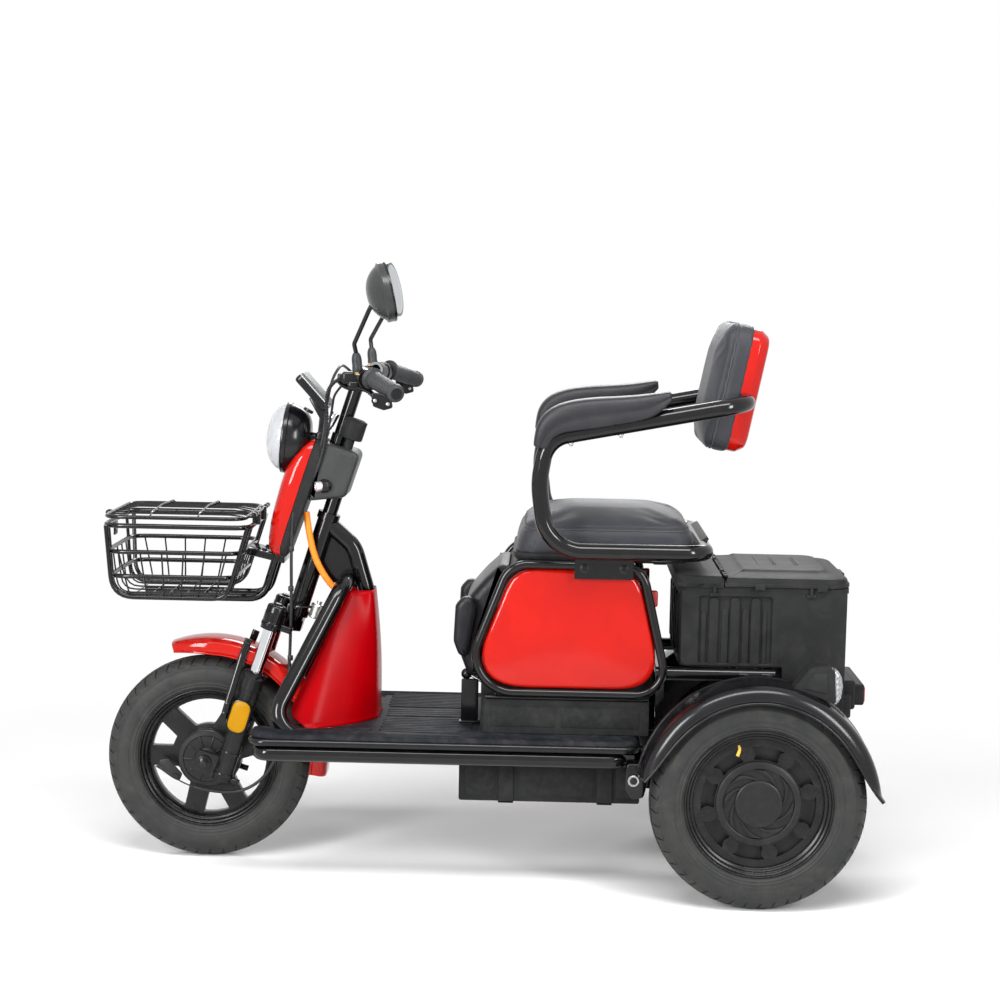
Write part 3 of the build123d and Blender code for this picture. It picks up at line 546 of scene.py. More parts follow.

# what a user would change in each finish: its slot, two colours (linear), roughness and its spread, specular
# level, metallic, the grain with its scale and depth in millimetres, and what lies on it, such as dust and lighter
# edges that are partly wear and partly painted highlight
finishLooks = {
    "frameBlack": ("frame_black", (0.002, 0.002, 0.0025), (0.003, 0.003, 0.0035), 0.12, 0.05, 0.38, 0, "lacquer", 300,
        0.005, dict(dust=0.02)),
    "glossBlack": ("black_gloss", (0.003, 0.003, 0.004), (0.0045, 0.0045, 0.0055), 0.2, 0.05, 0.34, 0, "lacquer", 200,
        0.004, dict(dust=0.02)),
    "redGloss": ("red_gloss", (0.43, 0.006, 0.002), (0.4, 0.005, 0.002), 0.08, 0.03, 0.3, 0, "lacquer", 200, 0.006, {}),
    # the leg shield's copy of the red paint, with painted shade: a darker base colour than redGloss
    "redGlossShaded": ("red_gloss", (0.32, 0, 0.002), (0.29, 0, 0.002), 0.26, 0.05, 0.06, 0, "lacquer", 200, 0.008, {}),
    "wheelBlack": ("wheel_black", (0.005, 0.005, 0.0055), (0.008, 0.008, 0.0085), 0.26, 0.08, 0.26, 0, "lacquer", 400,
        0.008, dict(dust=0.04, edgeWearAndLight=0.3)),
    "castBlack": ("wheel_black", (0.009, 0.009, 0.0095), (0.013, 0.013, 0.0135), 0.36, 0.1, 0.25, 0, "mould", 900,
        0.03, dict(dust=0.06, edgeWearAndLight=0.5)),
    # the tyre's lighter tread and sipe edges are partly wear and partly a painted highlight where edges catch the light
    "tyreRubber": ("tyre_rubber", (0.019, 0.02, 0.02), (0.026, 0.026, 0.025), 0.56, 0.16, 0.25, 0, "mould", 700, 0.06,
        dict(dust=0.16, upward=0.2, dustColor=(0.12, 0.115, 0.1), edgeWearAndLight=0.35)),
    "stipplePlastic": ("black_plastic", (0.017, 0.0175, 0.0175), (0.022, 0.0225, 0.0225), 0.46, 0.12, 0.05, 0,
        "mould", 1000, 0.07, dict(dust=0.06, edgeWearAndLight=0.25)),
    "deckRubber": ("foot_mat", (0.009, 0.01, 0.013), (0.014, 0.015, 0.018), 0.55, 0.14, 0.05, 0, "mould", 800, 0.06,
        dict(dust=0.12, edgeWearAndLight=0.3)),
    "greyPlastic": ("grey_plastic", (0.05, 0.052, 0.052), (0.06, 0.062, 0.062), 0.34, 0.1, 0.3, 0, "mould", 1400,
        0.03, dict(dust=0.03, edgeWearAndLight=0.15)),
    "seatVinyl": ("vinyl", (0.025, 0.026, 0.032), (0.032, 0.033, 0.04), 0.43, 0.12, 0.24, 0, "leather", 520, 0.16,
        dict(dust=0.03, sheen=0.05)),
    "gripRubber": ("soft_grip", (0.022, 0.023, 0.026), (0.03, 0.031, 0.034), 0.44, 0.1, 0.28, 0, "mould", 1200, 0.04,
        dict(dust=0.04, edgeWearAndLight=0.2)),
    "armSkin": ("soft_grip", (0.014, 0.014, 0.017), (0.019, 0.019, 0.022), 0.38, 0.1, 0.32, 0, "leather", 800, 0.09,
        dict(dust=0.03)),
    "chrome": ("chrome", (0.72, 0.73, 0.75), (0.64, 0.65, 0.68), 0.09, 0.05, 0.5, 1, "brushed", 180, 0.004, {}),
    "zincSteel": ("chrome", (0.5, 0.5, 0.49), (0.42, 0.42, 0.41), 0.32, 0.12, 0.5, 1, "brushed", 220, 0.02,
        dict(dust=0.05)),
    "goldZinc": ("chrome", (0.78, 0.56, 0.24), (0.7, 0.5, 0.24), 0.3, 0.1, 0.5, 1, "brushed", 220, 0.02, {}),
    "brassStem": ("wheel_black", (0.62, 0.38, 0.05), (0.7, 0.45, 0.08), 0.4, 0.1, 0.4, 0, "mould", 900, 0.03, {}),
    "cableSleeve": ("cable_black", (0.016, 0.016, 0.018), (0.022, 0.022, 0.024), 0.36, 0.1, 0.28, 0, "mould", 1500,
        0.03, dict(dust=0.05)),
    "hoseOrange": ("hose_orange", (0.86, 0.24, 0.012), (0.8, 0.2, 0.01), 0.42, 0.1, 0.35, 0, "mould", 1100, 0.03,
        dict(dust=0.03)),
    "seatCover": ("black_plastic", (0.009, 0.009, 0.011), (0.013, 0.013, 0.015), 0.32, 0.12, 0.2, 0, "leather", 620,
        0.08, dict(dust=0.03)),
    "consoleGrey": ("black_plastic", (0.03, 0.033, 0.032), (0.036, 0.039, 0.038), 0.42, 0.08, 0.28, 0, "mould", 1300,
        0.04, dict(dust=0.02, edgeWearAndLight=0.3)),
    "lampSilver": ("chrome", (0.8, 0.81, 0.83), (0.74, 0.75, 0.78), 0.3, 0.08, 0.5, 0.85, "brushed", 120, 0.006, {}),
    "mirrorShell": ("grey_plastic", (0.028, 0.03, 0.03), (0.034, 0.036, 0.036), 0.24, 0.06, 0.3, 0, "mould", 1400,
        0.015, dict(dust=0.02, edgeWearAndLight=0.1)),
    "clearLens": ("clear_lens", (0.93, 0.94, 0.95), (0.8742, 0.8836, 0.893), 0.06, 0.04, 0.5, 0, "lacquer", 400, 0,
        dict(transmission=0.92)),
    "displayGrey": ("clear_lens", (0.1, 0.105, 0.11), (0.085, 0.09, 0.095), 0.4, 0.05, 0.3, 0, "lacquer", 400, 0.004,
        {}),
    "whiteEdge": ("grey_plastic", (0.5, 0.51, 0.52), (0.45, 0.46, 0.47), 0.3, 0.06, 0.4, 0, "mould", 1400, 0.01, {}),
    "roseSilver": ("chrome", (0.8, 0.68, 0.69), (0.74, 0.62, 0.64), 0.25, 0.1, 0.5, 0.6, "brushed", 200, 0.01, {}),
    "threadBlack": ("vinyl", (0.045, 0.045, 0.048), (0.06, 0.06, 0.064), 0.6, 0.1, 0.3, 0, "mould", 2500, 0.03, {}),
    "signalRed": ("red_gloss", (0.42, 0.004, 0.004), (0.36, 0.003, 0.003), 0.22, 0.05, 0.45, 0, "lacquer", 300, 0.006,
        dict(coat=0.5)),
    "mirrorGlass": ("chrome", (0.42, 0.45, 0.48), (0.38, 0.41, 0.44), 0.02, 0.01, 0.5, 1, "lacquer", 60, 0.001, {}),
    "lampLens": ("clear_lens", (0.9, 0.91, 0.93), (0.846, 0.8554, 0.8742), 0.1, 0.04, 0.5, 0, "lacquer", 60, 0.002,
        dict(transmission=0.8)),
    "amberLens": ("clear_lens", (0.42, 0.2, 0), (0.3948, 0.188, 0), 0.22, 0.04, 0.15, 0, "lacquer", 420, 0.8, {}),
}


def placeGroup(tree, kind, **inputs):
    return addNode(tree, "ShaderNodeGroup", inputs.items(), node_tree=groups[kind]).outputs


def makeFinish(name, color, second, rough, spread, specular, metallic, grain, grainScale, grainDepth, dust=0, edgeWearAndLight=0,
               upward=0.6, dustColor=(0.16, 0.155, 0.15), coat=0.0, sheen=0.0, transmission=0.0):
    material = bpy.data.materials.new(name)
    material.use_nodes = True
    tree = material.node_tree
    shade = placeGroup(tree, "cloud", Color=(*color, 1), Second=(*second, 1), Scale=14.0)["Color"]
    # edges painted lighter: partly rubbed wear, partly a painted highlight where edges catch the light
    if edgeWearAndLight:
        wornLitColor = [min(1.0, c * 2.2 + 0.012) for c in color]
        shade = placeGroup(tree, "edgeWearAndLight", Color=shade, Rubbed=(*wornLitColor, 1), Amount=edgeWearAndLight)["Color"]
    if dust:
        shade = placeGroup(tree, "dust", Color=shade, Dust=(*dustColor, 1), Amount=dust, Upward=upward)["Color"]
    height = placeGroup(tree, grain, Scale=grainScale)["Height"]
    bump = addNode(tree, "ShaderNodeBump", [("Height", height), ("Strength", 1.0), ("Distance", grainDepth * toMetres)])
    feed(tree, tree.nodes["Principled BSDF"], {
        "Base Color": shade, "Roughness": placeGroup(tree, "gloss", Base=rough, Spread=spread)["Roughness"],
        "Metallic": metallic, "Specular IOR Level": specular, "Coat Weight": coat, "Coat Roughness": 0.03,
        "Sheen Weight": sheen, "Transmission Weight": transmission, "Normal": bump.outputs["Normal"]}.items())
    return material


finish = {name: makeFinish(name, *row[1:-1], **row[-1]) for name, row in finishLooks.items()}
finishSlot = {name: row[0] for name, row in finishLooks.items()}
print("finishes built:", len(finish))

# camera, light and floor

viewSet = {"place": (0.1204, -4.304, 1.1663), "lens": 77.35, "pitch": 0.0985, "yaw": -0.0208, "roll": 0.0188}
lampSet = {
    "overhead": dict(place=(0.1, -1.7, 3.2), aim=(0, 0, 0.4), size=(3.0, 0.8), power=100),
    "left": dict(place=(-2.2, -3.2, 1.7), aim=(-0.1, 0, 0.6), size=(0.9, 2.0), power=140),
    "right": dict(place=(2.6, -2.8, 1.7), aim=(0.1, 0, 0.6), size=(0.6, 1.8), power=78),
    "back": dict(place=(0.3, 3.0, 2.4), aim=(0, 0, 0.7), size=(2.2, 0.8), power=52),
}
ambientLevel = 0.2
paperStart, paperEnd = 1.05, 2.1      # metres from the object's middle over which the floor turns to white backdrop


def makeCamera():
    pitch, yaw, roll = viewSet["pitch"], viewSet["yaw"], viewSet["roll"]
    forward = Vector((sin(yaw) * cos(pitch), cos(yaw) * cos(pitch), -sin(pitch)))
    right = Vector((cos(yaw), -sin(yaw), 0))
    up = right.cross(forward)
    level, raised = right * cos(roll) + up * sin(roll), up * cos(roll) - right * sin(roll)
    data = bpy.data.cameras.new("camera")
    data.lens = viewSet["lens"]
    data.sensor_width = 36.0
    data.clip_end = 100.0
    camera = newObject("camera", data)
    placed = Matrix((level, raised, -forward)).transposed().to_4x4()
    placed.translation = viewSet["place"]
    camera.matrix_world = placed
    bpy.context.scene.camera = camera


def makeLamps():
    for name, values in lampSet.items():
        data = bpy.data.lights.new(name, "AREA")
        data.shape = "RECTANGLE"
        data.size, data.size_y = values["size"]
        data.energy = values["power"]
        lamp = newObject(name, data)
        lamp.location = values["place"]
        lamp.rotation_euler = (Vector(values["aim"]) - Vector(values["place"])).to_track_quat("-Z", "Y").to_euler()


def backgroundRays(tree):   # the rays that meet the white backdrop rather than light from it
    path = addNode(tree, "ShaderNodeLightPath")
    seen = plus(tree, path.outputs["Is Camera Ray"], path.outputs["Is Glossy Ray"], True)
    return plus(tree, seen, path.outputs["Is Transmission Ray"], True)


def makeWorld():
    world = bpy.data.worlds.new("studio")
    bpy.context.scene.world = world
    world.use_nodes = True
    tree = world.node_tree
    seen = backgroundRays(tree)
    level = plus(tree, times(tree, seen, 1.0 - ambientLevel), ambientLevel)
    shade = tree.nodes["Background"]
    shade.inputs["Color"].default_value = (1, 1, 1, 1)
    tree.links.new(level, shade.inputs["Strength"])


def makeFloor():
    material = bpy.data.materials.new("floorPaper")
    material.use_nodes = True
    tree = material.node_tree
    place = objectPlace(tree)
    mottle = noiseNode(tree, place, 3.0, 3.0, 0.5)
    paper = mixColors(tree, mottle, (0.93, 0.93, 0.93, 1), (0.96, 0.96, 0.96, 1))
    shader = tree.nodes["Principled BSDF"]
    feed(tree, shader, (("Base Color", paper), ("Roughness", 0.9), ("Specular IOR Level", 0.1)))
    level = addNode(tree, "ShaderNodeVectorMath", [(0, place)], operation="LENGTH").outputs["Value"]
    seen = backgroundRays(tree)
    share = times(tree, rampNode(tree, level, paperStart, paperEnd), seen)
    white = addNode(tree, "ShaderNodeEmission", [("Color", (1, 1, 1, 1)), ("Strength", 1.0)])
    both = addNode(tree, "ShaderNodeMixShader", [(0, share), (1, shader.outputs[0]), (2, white.outputs[0])])
    tree.links.new(both.outputs[0], tree.nodes["Material Output"].inputs["Surface"])
    bm = bmesh.new()
    bmesh.ops.create_circle(bm, cap_ends=True, radius=14.0, segments=96)
    mesh = bpy.data.meshes.new("studioFloor")
    bm.to_mesh(mesh)
    bm.free()
    mesh.materials.append(material)
    newObject("studioFloor", mesh)


makeCamera()
makeLamps()
makeWorld()
makeFloor()
bpy.context.scene.view_settings.view_transform = "Standard"
print("stage set")

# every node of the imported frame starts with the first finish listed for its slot
firstFinish = {slot: name for name, slot in reversed(finishSlot.items())}
for node in nodes.values():
    for socket in node.material_slots:
        socket.material = finish[firstFinish[socket.material.name.split(".")[0]]]
print("frame finished")


# wheels

wheelSet = {
    "frontCentre": (-552, 0, 206.5),
    "rearCentres": {"left": (536, -296, 206.5), "right": (536, 296, 206.5)},
    "pitches": 46,          # tread blocks round the tyre
    "grooveDepth": 3.2,
    "valveAngle": 110,
}
tyreRadius = 206.5


def crownPoint(across):  # place on the tyre's section for a distance across the tread from its middle
    # crown and shoulder are arcs: returns radius, half-width and the outward direction
    crownRadius, shoulderStart = 45.0, 30.5
    side = -1 if across < 0 else 1
    run = abs(across)
    if run <= shoulderStart:
        a = run / crownRadius
        return tyreRadius - crownRadius * (1 - cos(a)), side * crownRadius * sin(a), side * a
    a = shoulderStart / crownRadius
    radius = tyreRadius - crownRadius * (1 - cos(a)) - (run - shoulderStart) * sin(a + 0.35)
    return radius, side * (crownRadius * sin(a) + (run - shoulderStart) * cos(a + 0.35)), side * (a + 0.3)


def wrapTread(verts, centre, floor):  # flat tread (x round, y across, z out) onto the tyre
    for v in verts:
        radius, y, lean = crownPoint(v.co.y)
        turn = v.co.x / tyreRadius
        lift = v.co.z - floor
        r = radius + lift * cos(lean)
        v.co = Vector((r * cos(turn), y + lift * sin(lean), r * sin(turn))) + Vector(centre)


def makeTyre(name, centre, body, node):
    bm = bmesh.new()
    depth = wheelSet["grooveDepth"]
    half = [
        (138.0, 29.6), (141.6, 31.2), (145.0, 33.4), (146.5, 35.2), (147.6, 35.6), (149.0, 35.0), (150.0, 35.4),
        (151.2, 36.6), (153.0, 37.0), (154.0, 36.6), (158.0, 38.3), (164.0, 39.3), (169.0, 39.5), (174.0, 39.2),
        (179.0, 38.2), (182.5, 37.0), (183.5, 36.0), (186.0, 34.6), (189.5, 32.4),
    ]
    crown = [crownPoint(a) for a in (36, 33, 29, 24, 18, 12, 6, 0)]
    crown = [(r - depth, y) for r, y, lean in crown]
    section = half + crown + [(r, -y) for r, y in reversed(crown[:-1])] + [(r, -y) for r, y in reversed(half)]
    lathe(bm, section, local(centre, (0, 1, 0)), 180, closed=True)
    newPiece(f"{name}_carcass", bm, "tyreRubber", body, [node], sharp=45)

    # one pitch of tread: a zigzag middle rib and a slanted block on each shoulder
    pitch = 2 * pi * tyreRadius / wheelSet["pitches"]
    gap, lean = 2.6, 7.0
    blocks = [
        [(0.0, 1.6), (pitch * 0.5, 4.6), (pitch, 1.6), (pitch, 11.2), (pitch * 0.5, 14.2), (0.0, 11.2)],
        [(gap, 15.4), (pitch * 0.5, 18.2), (pitch - 0.2, 15.6), (pitch + lean, 37.0), (gap + lean + 2, 40.5),
         (gap + lean, 34.0)],
    ]
    bm = bmesh.new()
    for corners in blocks:
        for side in (1, -1):
            points = [(x if side > 0 else x + pitch * 0.5, side * y, 0) for x, y in corners]
            faces = capRing(bm, addRing(bm, points))
            top = pullOut(bm, faces, (0, 0, depth + 0.6))
            rim = [e for e in bm.edges if all(v in top for v in e.verts) and len(e.link_faces) == 2]
            bevelEdges(bm, sharpEdges(rim, 60), 0.7, 1)
    for cut in (-32, -26, -20, -9, 9, 20, 26, 32):
        bmesh.ops.bisect_plane(bm, geom=allOf(bm), dist=1e-4, plane_co=(0, cut, 0), plane_no=(0, 1, 0))
    pieces = allOf(bm)
    bmesh.ops.recalc_face_normals(bm, faces=bm.faces)
    for turn in range(1, wheelSet["pitches"]):
        fresh = vertsOf(bmesh.ops.duplicate(bm, geom=pieces)["geom"])
        bmesh.ops.translate(bm, vec=(pitch * turn, 0, 0), verts=fresh)
    wrapTread(bm.verts[:], centre, depth + 0.6)
    newPiece(f"{name}_tread", bm, "tyreRubber", body, sharp=40, merge=0, outward=False)

    # slanted sipes and two fine rings on the side walls
    bm = bmesh.new()
    place = local(centre, (0, 1, 0))
    for side in (-1, 1):
        first = len(bm.verts)
        for shift in (0.0, 0.026, 0.052):
            path = []
            for step in range(6):
                r = 166 + step * 3.2
                wall = 39.35 - 0.0125 * max(0, r - 169) ** 2 if r > 169 else 39.3
                turn = shift + 0.014 * step
                path.append(place @ Vector((r * cos(turn), r * sin(turn), side * wall)))
            addTube(bm, path, [0.35, 0.6, 0.6, 0.6, 0.6, 0.35], 6)
        geom = bm.verts[first:]
        geom = geom + list({e for v in geom for e in v.link_edges}) + list({f for v in geom for f in v.link_faces})
        turnedCopies(bm, geom, 15, place)
        ring = [place @ Vector((x, y, side * 38.9)) for x, y in circlePoints(160.5, 120)]
        addTube(bm, ring, 0.55, 6, closed=True)
    newPiece(f"{name}_wall_lines", bm, "tyreRubber", body, merge=0)


def rimSection():  # (radius, half-width) of the flange and well on one side, from the lip inwards
    return [(141.0, 29.0), (141.0, 32.6), (140.0, 33.8), (138.4, 34.0), (137.4, 33.2), (136.6, 31.0), (134.6, 28.6),
            (132.8, 28.0), (131.2, 27.0), (130.4, 24.2), (128.2, 22.0), (125.6, 21.4), (124.2, 20.0), (123.4, 15.0)]


def windowOutline(inner, outer, middle, half, bend=7):  # rounded opening in the web, as (x, y) points
    steps = 9
    waist = half * 0.62
    corners = [polar(outer, middle - half + 2 * half * k / steps) for k in range(steps + 1)]
    corners += [polar(inner, middle + waist - 2 * waist * k / 4) for k in range(5)]
    bends = [bend if k in (0, steps, steps + 1, steps + 5) else 2 for k in range(len(corners))]
    return roundCorners(corners, bends, 4)


def makeBarrel(name, place, body, node):
    bm = bmesh.new()
    side = rimSection()
    lathe(bm, side + [(r, -h) for r, h in reversed(side)], place, 160, closed=True)
    newPiece(name, bm, "wheelBlack", body, [node], sharp=50)


def makeFrontRim():
    place = sideFrame(wheelSet["frontCentre"])
    makeBarrel("front_rim_barrel", place, "front_wheel", "front_rim")
    bm = bmesh.new()
    holes = []
    for turn in (98, 218, 338):
        holes += [windowOutline(66, 117, turn, 27), windowOutline(76, 117, turn + 60, 13, 6)]
    webPlate(bm, circlePoints(124.5, 120), holes, -9, 9, place)
    newPiece("front_rim_web", bm, "wheelBlack", "front_wheel", sharp=40)

    bm = bmesh.new()   # hub drum and its cooling ribs, bored for the axle bolt
    hub = [(8, -29), (30, -29), (33, -27), (52, -25), (57, -23), (58, -20), (58, 20), (57, 24), (54, 27), (40, 29),
           (8, 29)]
    lathe(bm, hub, place, 96, closed=True)
    boxesRound(bm, 24, (57, -1.2, -19), (61.5, 1.2, -9.4), 0.5, 1, place)
    newPiece("front_hub", bm, "castBlack", "front_wheel", sharp=35)

    bm = bmesh.new()
    turn = radians(20)
    foot = place @ Vector((124 * cos(turn), 124 * sin(turn), 4))
    tip = place @ Vector((104 * cos(turn), 104 * sin(turn), 12))
    addRod(bm, foot, tip, 2.6, 2.6, 16)
    addRod(bm, foot.lerp(tip, 0.6), tip + (tip - foot) * 0.15, 4.0, 3.6, 16)
    newPiece("front_valve", bm, "cableSleeve", "front_wheel")


def makeRearRim(side, body):
    name = f"rear_rim_{side}"
    outward = -1 if side == "left" else 1
    place = local(wheelSet["rearCentres"][side], (0, outward, 0), (1, 0, 0))
    makeBarrel(f"{name}_barrel", place, body, name)
    bm = bmesh.new()   # the pressed web: pockets between eight round lobes
    pockets = []
    for k in range(8):
        middle = 36.5 + 45 * k
        outline = [polar(109, middle + d) for d in range(-15, 16, 5)]
        for lobe in (1, -1):
            bow = [polar(97.5, middle + lobe * 22.5) + polar(15.5, middle + lobe * (22.5 - 44 - 92 * d / 6))
                   for d in range(7)]
            outline += bow[::lobe]
            if lobe > 0:
                outline += [polar(83.5, middle - d) for d in range(-15, 16, 5)]
        pockets.append(outline)
    webPlate(bm, circlePoints(124.5, 120), pockets + [list(reversed(circlePoints(70, 60)))], 3, 16.5, place, 1.6)
    newPiece(f"{name}_web", bm, "wheelBlack", body, sharp=40)

    bm = bmesh.new()   # floor of the pockets, seen through them, and the hub behind
    lathe(bm, [(16, 0), (60, 0), (90, 0), (108, 1), (122, 4), (123, 12), (124, 12), (124, -2), (108, -3), (90, -4),
               (80, -6), (80, -29), (78, -31), (16, -31)], place, 96, closed=True)
    newPiece(f"{name}_dish", bm, "castBlack", body, sharp=40)

    bm = bmesh.new()   # hub cover: stepped disc with curved slots round a plain middle
    lathe(bm, [(0, 12), (81, 12), (81, 20), (80, 22), (77.5, 23.2), (71, 24), (69, 24.4), (67.6, 23.8), (66.8, 20.6),
               (45.6, 20.6), (44.6, 25.2), (43, 26.2), (41, 26.7), (30, 26.7), (29, 26.3), (27, 26.3), (26, 26.7),
               (0, 27)], place, 128)
    newPiece(f"{name}_cover", bm, "castBlack", body, sharp=30)
    bm = bmesh.new()
    for k in range(8):   # raised curved vanes between the slots
        turn = 2 * pi * k / 8
        edge = [(45.5 + 20 * t, turn + 0.62 * t) for t in (step / 6 for step in range(7))]
        edge += [(45.5 + 20.5 * t, turn + 0.84 * t + 0.1) for t in (1 - step / 6 for step in range(7))]
        vane = [(r * cos(a), r * sin(a)) for r, a in edge]
        webPlate(bm, vane, [], 19.5, 26.4, Matrix(), 1.0)
    bmesh.ops.transform(bm, matrix=place, verts=bm.verts)
    boxesRound(bm, 60, (31.5, -0.35, 26.5), (38.5, 0.35, 27.0), 0.15, 1, place)   # fine ticks round the middle disc
    newPiece(f"{name}_vanes", bm, "castBlack", body, sharp=40, merge=0)

    bm = bmesh.new()
    turn = radians(wheelSet["valveAngle"])
    foot = Vector((121 * cos(turn), 121 * sin(turn), 10))
    mid = Vector((110 * cos(turn), 110 * sin(turn), 19))
    tip = Vector((100 * cos(turn + 0.09), 100 * sin(turn + 0.09), 21))
    path = [place @ p for p in bentPath([foot, mid, tip], 12)]
    addTube(bm, path, 2.9, 14)
    addTube(bm, path[-3:], 3.4, 14)
    newPiece(f"{name}_valve", bm, "brassStem", body)


makeTyre("front_tyre", wheelSet["frontCentre"], "front_wheel", "front_tyre")
makeFrontRim()
for side, centre in wheelSet["rearCentres"].items():
    makeTyre(f"rear_tyre_{side}", centre, f"rear_wheel_{side}", f"rear_tyre_{side}")
    makeRearRim(side, f"rear_wheel_{side}")
print("wheels built")

# painted body panels

bodySet = {
    "panelCorners": [(-26.9, 394), (62.2, 627), (304.8, 627), (358.7, 394)],
    "panelBends": [104, 66, 60, 74],
    "panelCrown": 9.0,            # how far the panel's face swells beyond its border
    "shieldWall": 3.0,
    "shieldRows": 44,
    "guardCentre": (-549, 0, 213),
    "backTilt": 11.4,
    "backPlace": (490, 0, 979),
    "hoopLine": [(-341, -203, 279), (-397, -206, 329), (-275, -78, 574), (-275, 78, 574), (-397, 206, 329),
                 (-341, 203, 279)],
}
backLean = radians(bodySet["backTilt"])


def makeSidePanels():
    bm = bmesh.new()
    outline = evenOutline(bodySet["panelCorners"], bodySet["panelBends"], 7)
    place = sideFrame()
    top = bodySet["panelCrown"]
    layers = [(3, 167.5), (0.6, 168), (0, 170), (0, 183), (0.6, 186), (2.2, 188.6), (4.6, 190.4), (8, 191.8),
              (12, 192.6)]
    crown = [(share / 20, 192.6 + top * (1 - (share / 20) ** 2)) for share in range(19, 0, -2)]
    layered(bm, outline, layers, crown, place)
    mirrorAll(bm)
    newPiece("side_panel_shells", bm, "redGloss", chassis, ["side_panels"], sharp=60)
    bm = bmesh.new()   # red release tab behind the panel
    for side in (-1, 1):
        addBox(bm, (324, side * 172 - 9, 556), (344, side * 172 + 9, 588), 5, 4)
    newPiece("release_tabs", bm, "signalRed", chassis)


def makeLegShield():
    low, high, rows = 303.0, 557.0, bodySet["shieldRows"]
    bm = bmesh.new()
    rings = []
    for row in range(rows + 1):
        z = low - 0.5 + (high - low + 0.5) * row / rows
        t = (z - low) / (high - low)
        bulge = 6 * sin(pi * min(1, max(0, t)))
        flare = 4.0 * max(0.0, 1 - (z - low) / 7) ** 1.5
        half, front = 184 - 118 * t, -420 + 80 * t
        near = (-246 + 4 * t + bulge, 121 - 77.4 * t)
        back = (-207 - 12 * t + bulge * 0.8 + flare * 0.6, 62 - 25 * t)
        shoulder = (front + 0.42 * (back[0] - front), half - 2)
        side = [(front, half), ((front + shoulder[0]) / 2, half), (shoulder[0], shoulder[1] + flare),
                ((shoulder[0] + near[0]) / 2, (shoulder[1] + near[1]) / 2 + 2 + flare), (near[0], near[1] + flare),
                (near[0] * 0.3 + back[0] * 0.7, near[1] * 0.3 + back[1] * 0.7 + 3), back, (back[0] + 2, back[1] * 0.5)]
        route = [(x, -y, z) for x, y in side] + [(back[0] + 3, 0, z)] + [(x, y, z) for x, y in reversed(side)]
        line = splinePath(route, 8)
        total = sum((b - a).length for a, b in zip(line, line[1:]))
        rings.append(resample(line, total / 80))
    loftRings(bm, rings, closed=False)
    for place, aim in (((-334, 0, 303), (-18, 0, -27)), ((-362, 0, 318), (-31, 0, -10)),
                       ((-362, 0, 352), (-214, 0, 100))):
        normal = Vector(aim)
        bmesh.ops.bisect_plane(bm, geom=allOf(bm), plane_co=place, plane_no=normal, clear_outer=True)
        inside = normal.normalized()
        for inner in (3.0, 7.0, 11.0):
            bmesh.ops.bisect_plane(bm, geom=allOf(bm), plane_co=Vector(place) - inside * inner, plane_no=normal)
    lip = Vector((-0.906, 0, 0.423))
    for v in bm.verts:    # a rolled lip along the hoop and round the top
        reach = min(-(v.co - Vector((-362, 0, 352))).dot(lip), high - v.co.z + 3)
        if reach < 11 and abs(v.co.y) > 1:
            v.co.y -= 5.0 * (1 - max(0, reach) / 11) ** 2 * (1 if v.co.y > 0 else -1)
    bmesh.ops.recalc_face_normals(bm, faces=bm.faces)
    if sum(f.normal.y * (1 if f.calc_center_median().y > 0 else -1) for f in bm.faces) < 0:
        bmesh.ops.reverse_faces(bm, faces=bm.faces)
    # the leg shield takes the copy of the red paint with painted shade
    piece = newPiece("leg_shield_skin", bm, "redGlossShaded", chassis, ["leg_shield"], sharp=60, outward=False)
    shell(piece, bodySet["shieldWall"])


cowlRows = [  # height, front, seam, rear, half width
    (620, -410, -403, -398, 34), (624, -420, -406, -394, 44), (632, -428, -407, -389, 50),
    (645, -432, -405, -384.5, 55), (665, -431.5, -399, -377.5, 58), (690, -428, -391, -369, 61),
    (730, -419, -378, -355.5, 64), (770, -408, -365.5, -342.5, 66), (800, -398, -356, -333, 66),
    (825, -383, -348, -325, 63), (842, -367, -342.5, -319.5, 58), (852, -354, -339.5, -317.5, 52),
    (857, -346, -338.5, -318, 44),
]


def makeHoop():
    bm = bmesh.new()
    addTube(bm, bentPath(bodySet["hoopLine"], [84, 62, 62, 84], steps=12), 16.5, 32)
    newPiece("leg_guard_tube", bm, "frameBlack", chassis, ["leg_guard_hoop"], sharp=50)


def makeCowl():
    red, back = bmesh.new(), bmesh.new()
    skin, core = [], []
    for k in range(49):
        z = 620 + 237 * k / 48
        front, seam, rear, half = blend(cowlRows, z)
        ring = []
        for j in range(25):
            a = pi * (j / 24 - 0.5)
            c, s = abs(cos(a)) ** 0.5, abs(sin(a)) ** 0.5 * (1 if a > 0 else -1)
            ring.append((seam + (front - seam) * c, half * s, z))
        ring += [(seam, half - 3, z), (seam, 0, z), (seam, -half + 3, z)]
        skin.append(ring)
        inner = half - 2.5
        edge = [(seam - 6, inner - 6), (seam - 2, inner), (rear - 4, inner), (rear - 1.2, inner - 1.2),
                (rear, inner - 4)]
        flat = [(seam - 6, 0)] + edge + [(rear, 0)] + [(x, -y) for x, y in reversed(edge)]
        core.append([(x, y, z - 1) for x, y in flat])
    loftRings(red, skin)
    loftRings(back, core)
    newPiece("cowl_skin", red, "redGloss", steering, ["front_cowl"], sharp=50)
    newPiece("cowl_backing", back, "stipplePlastic", steering, sharp=50)


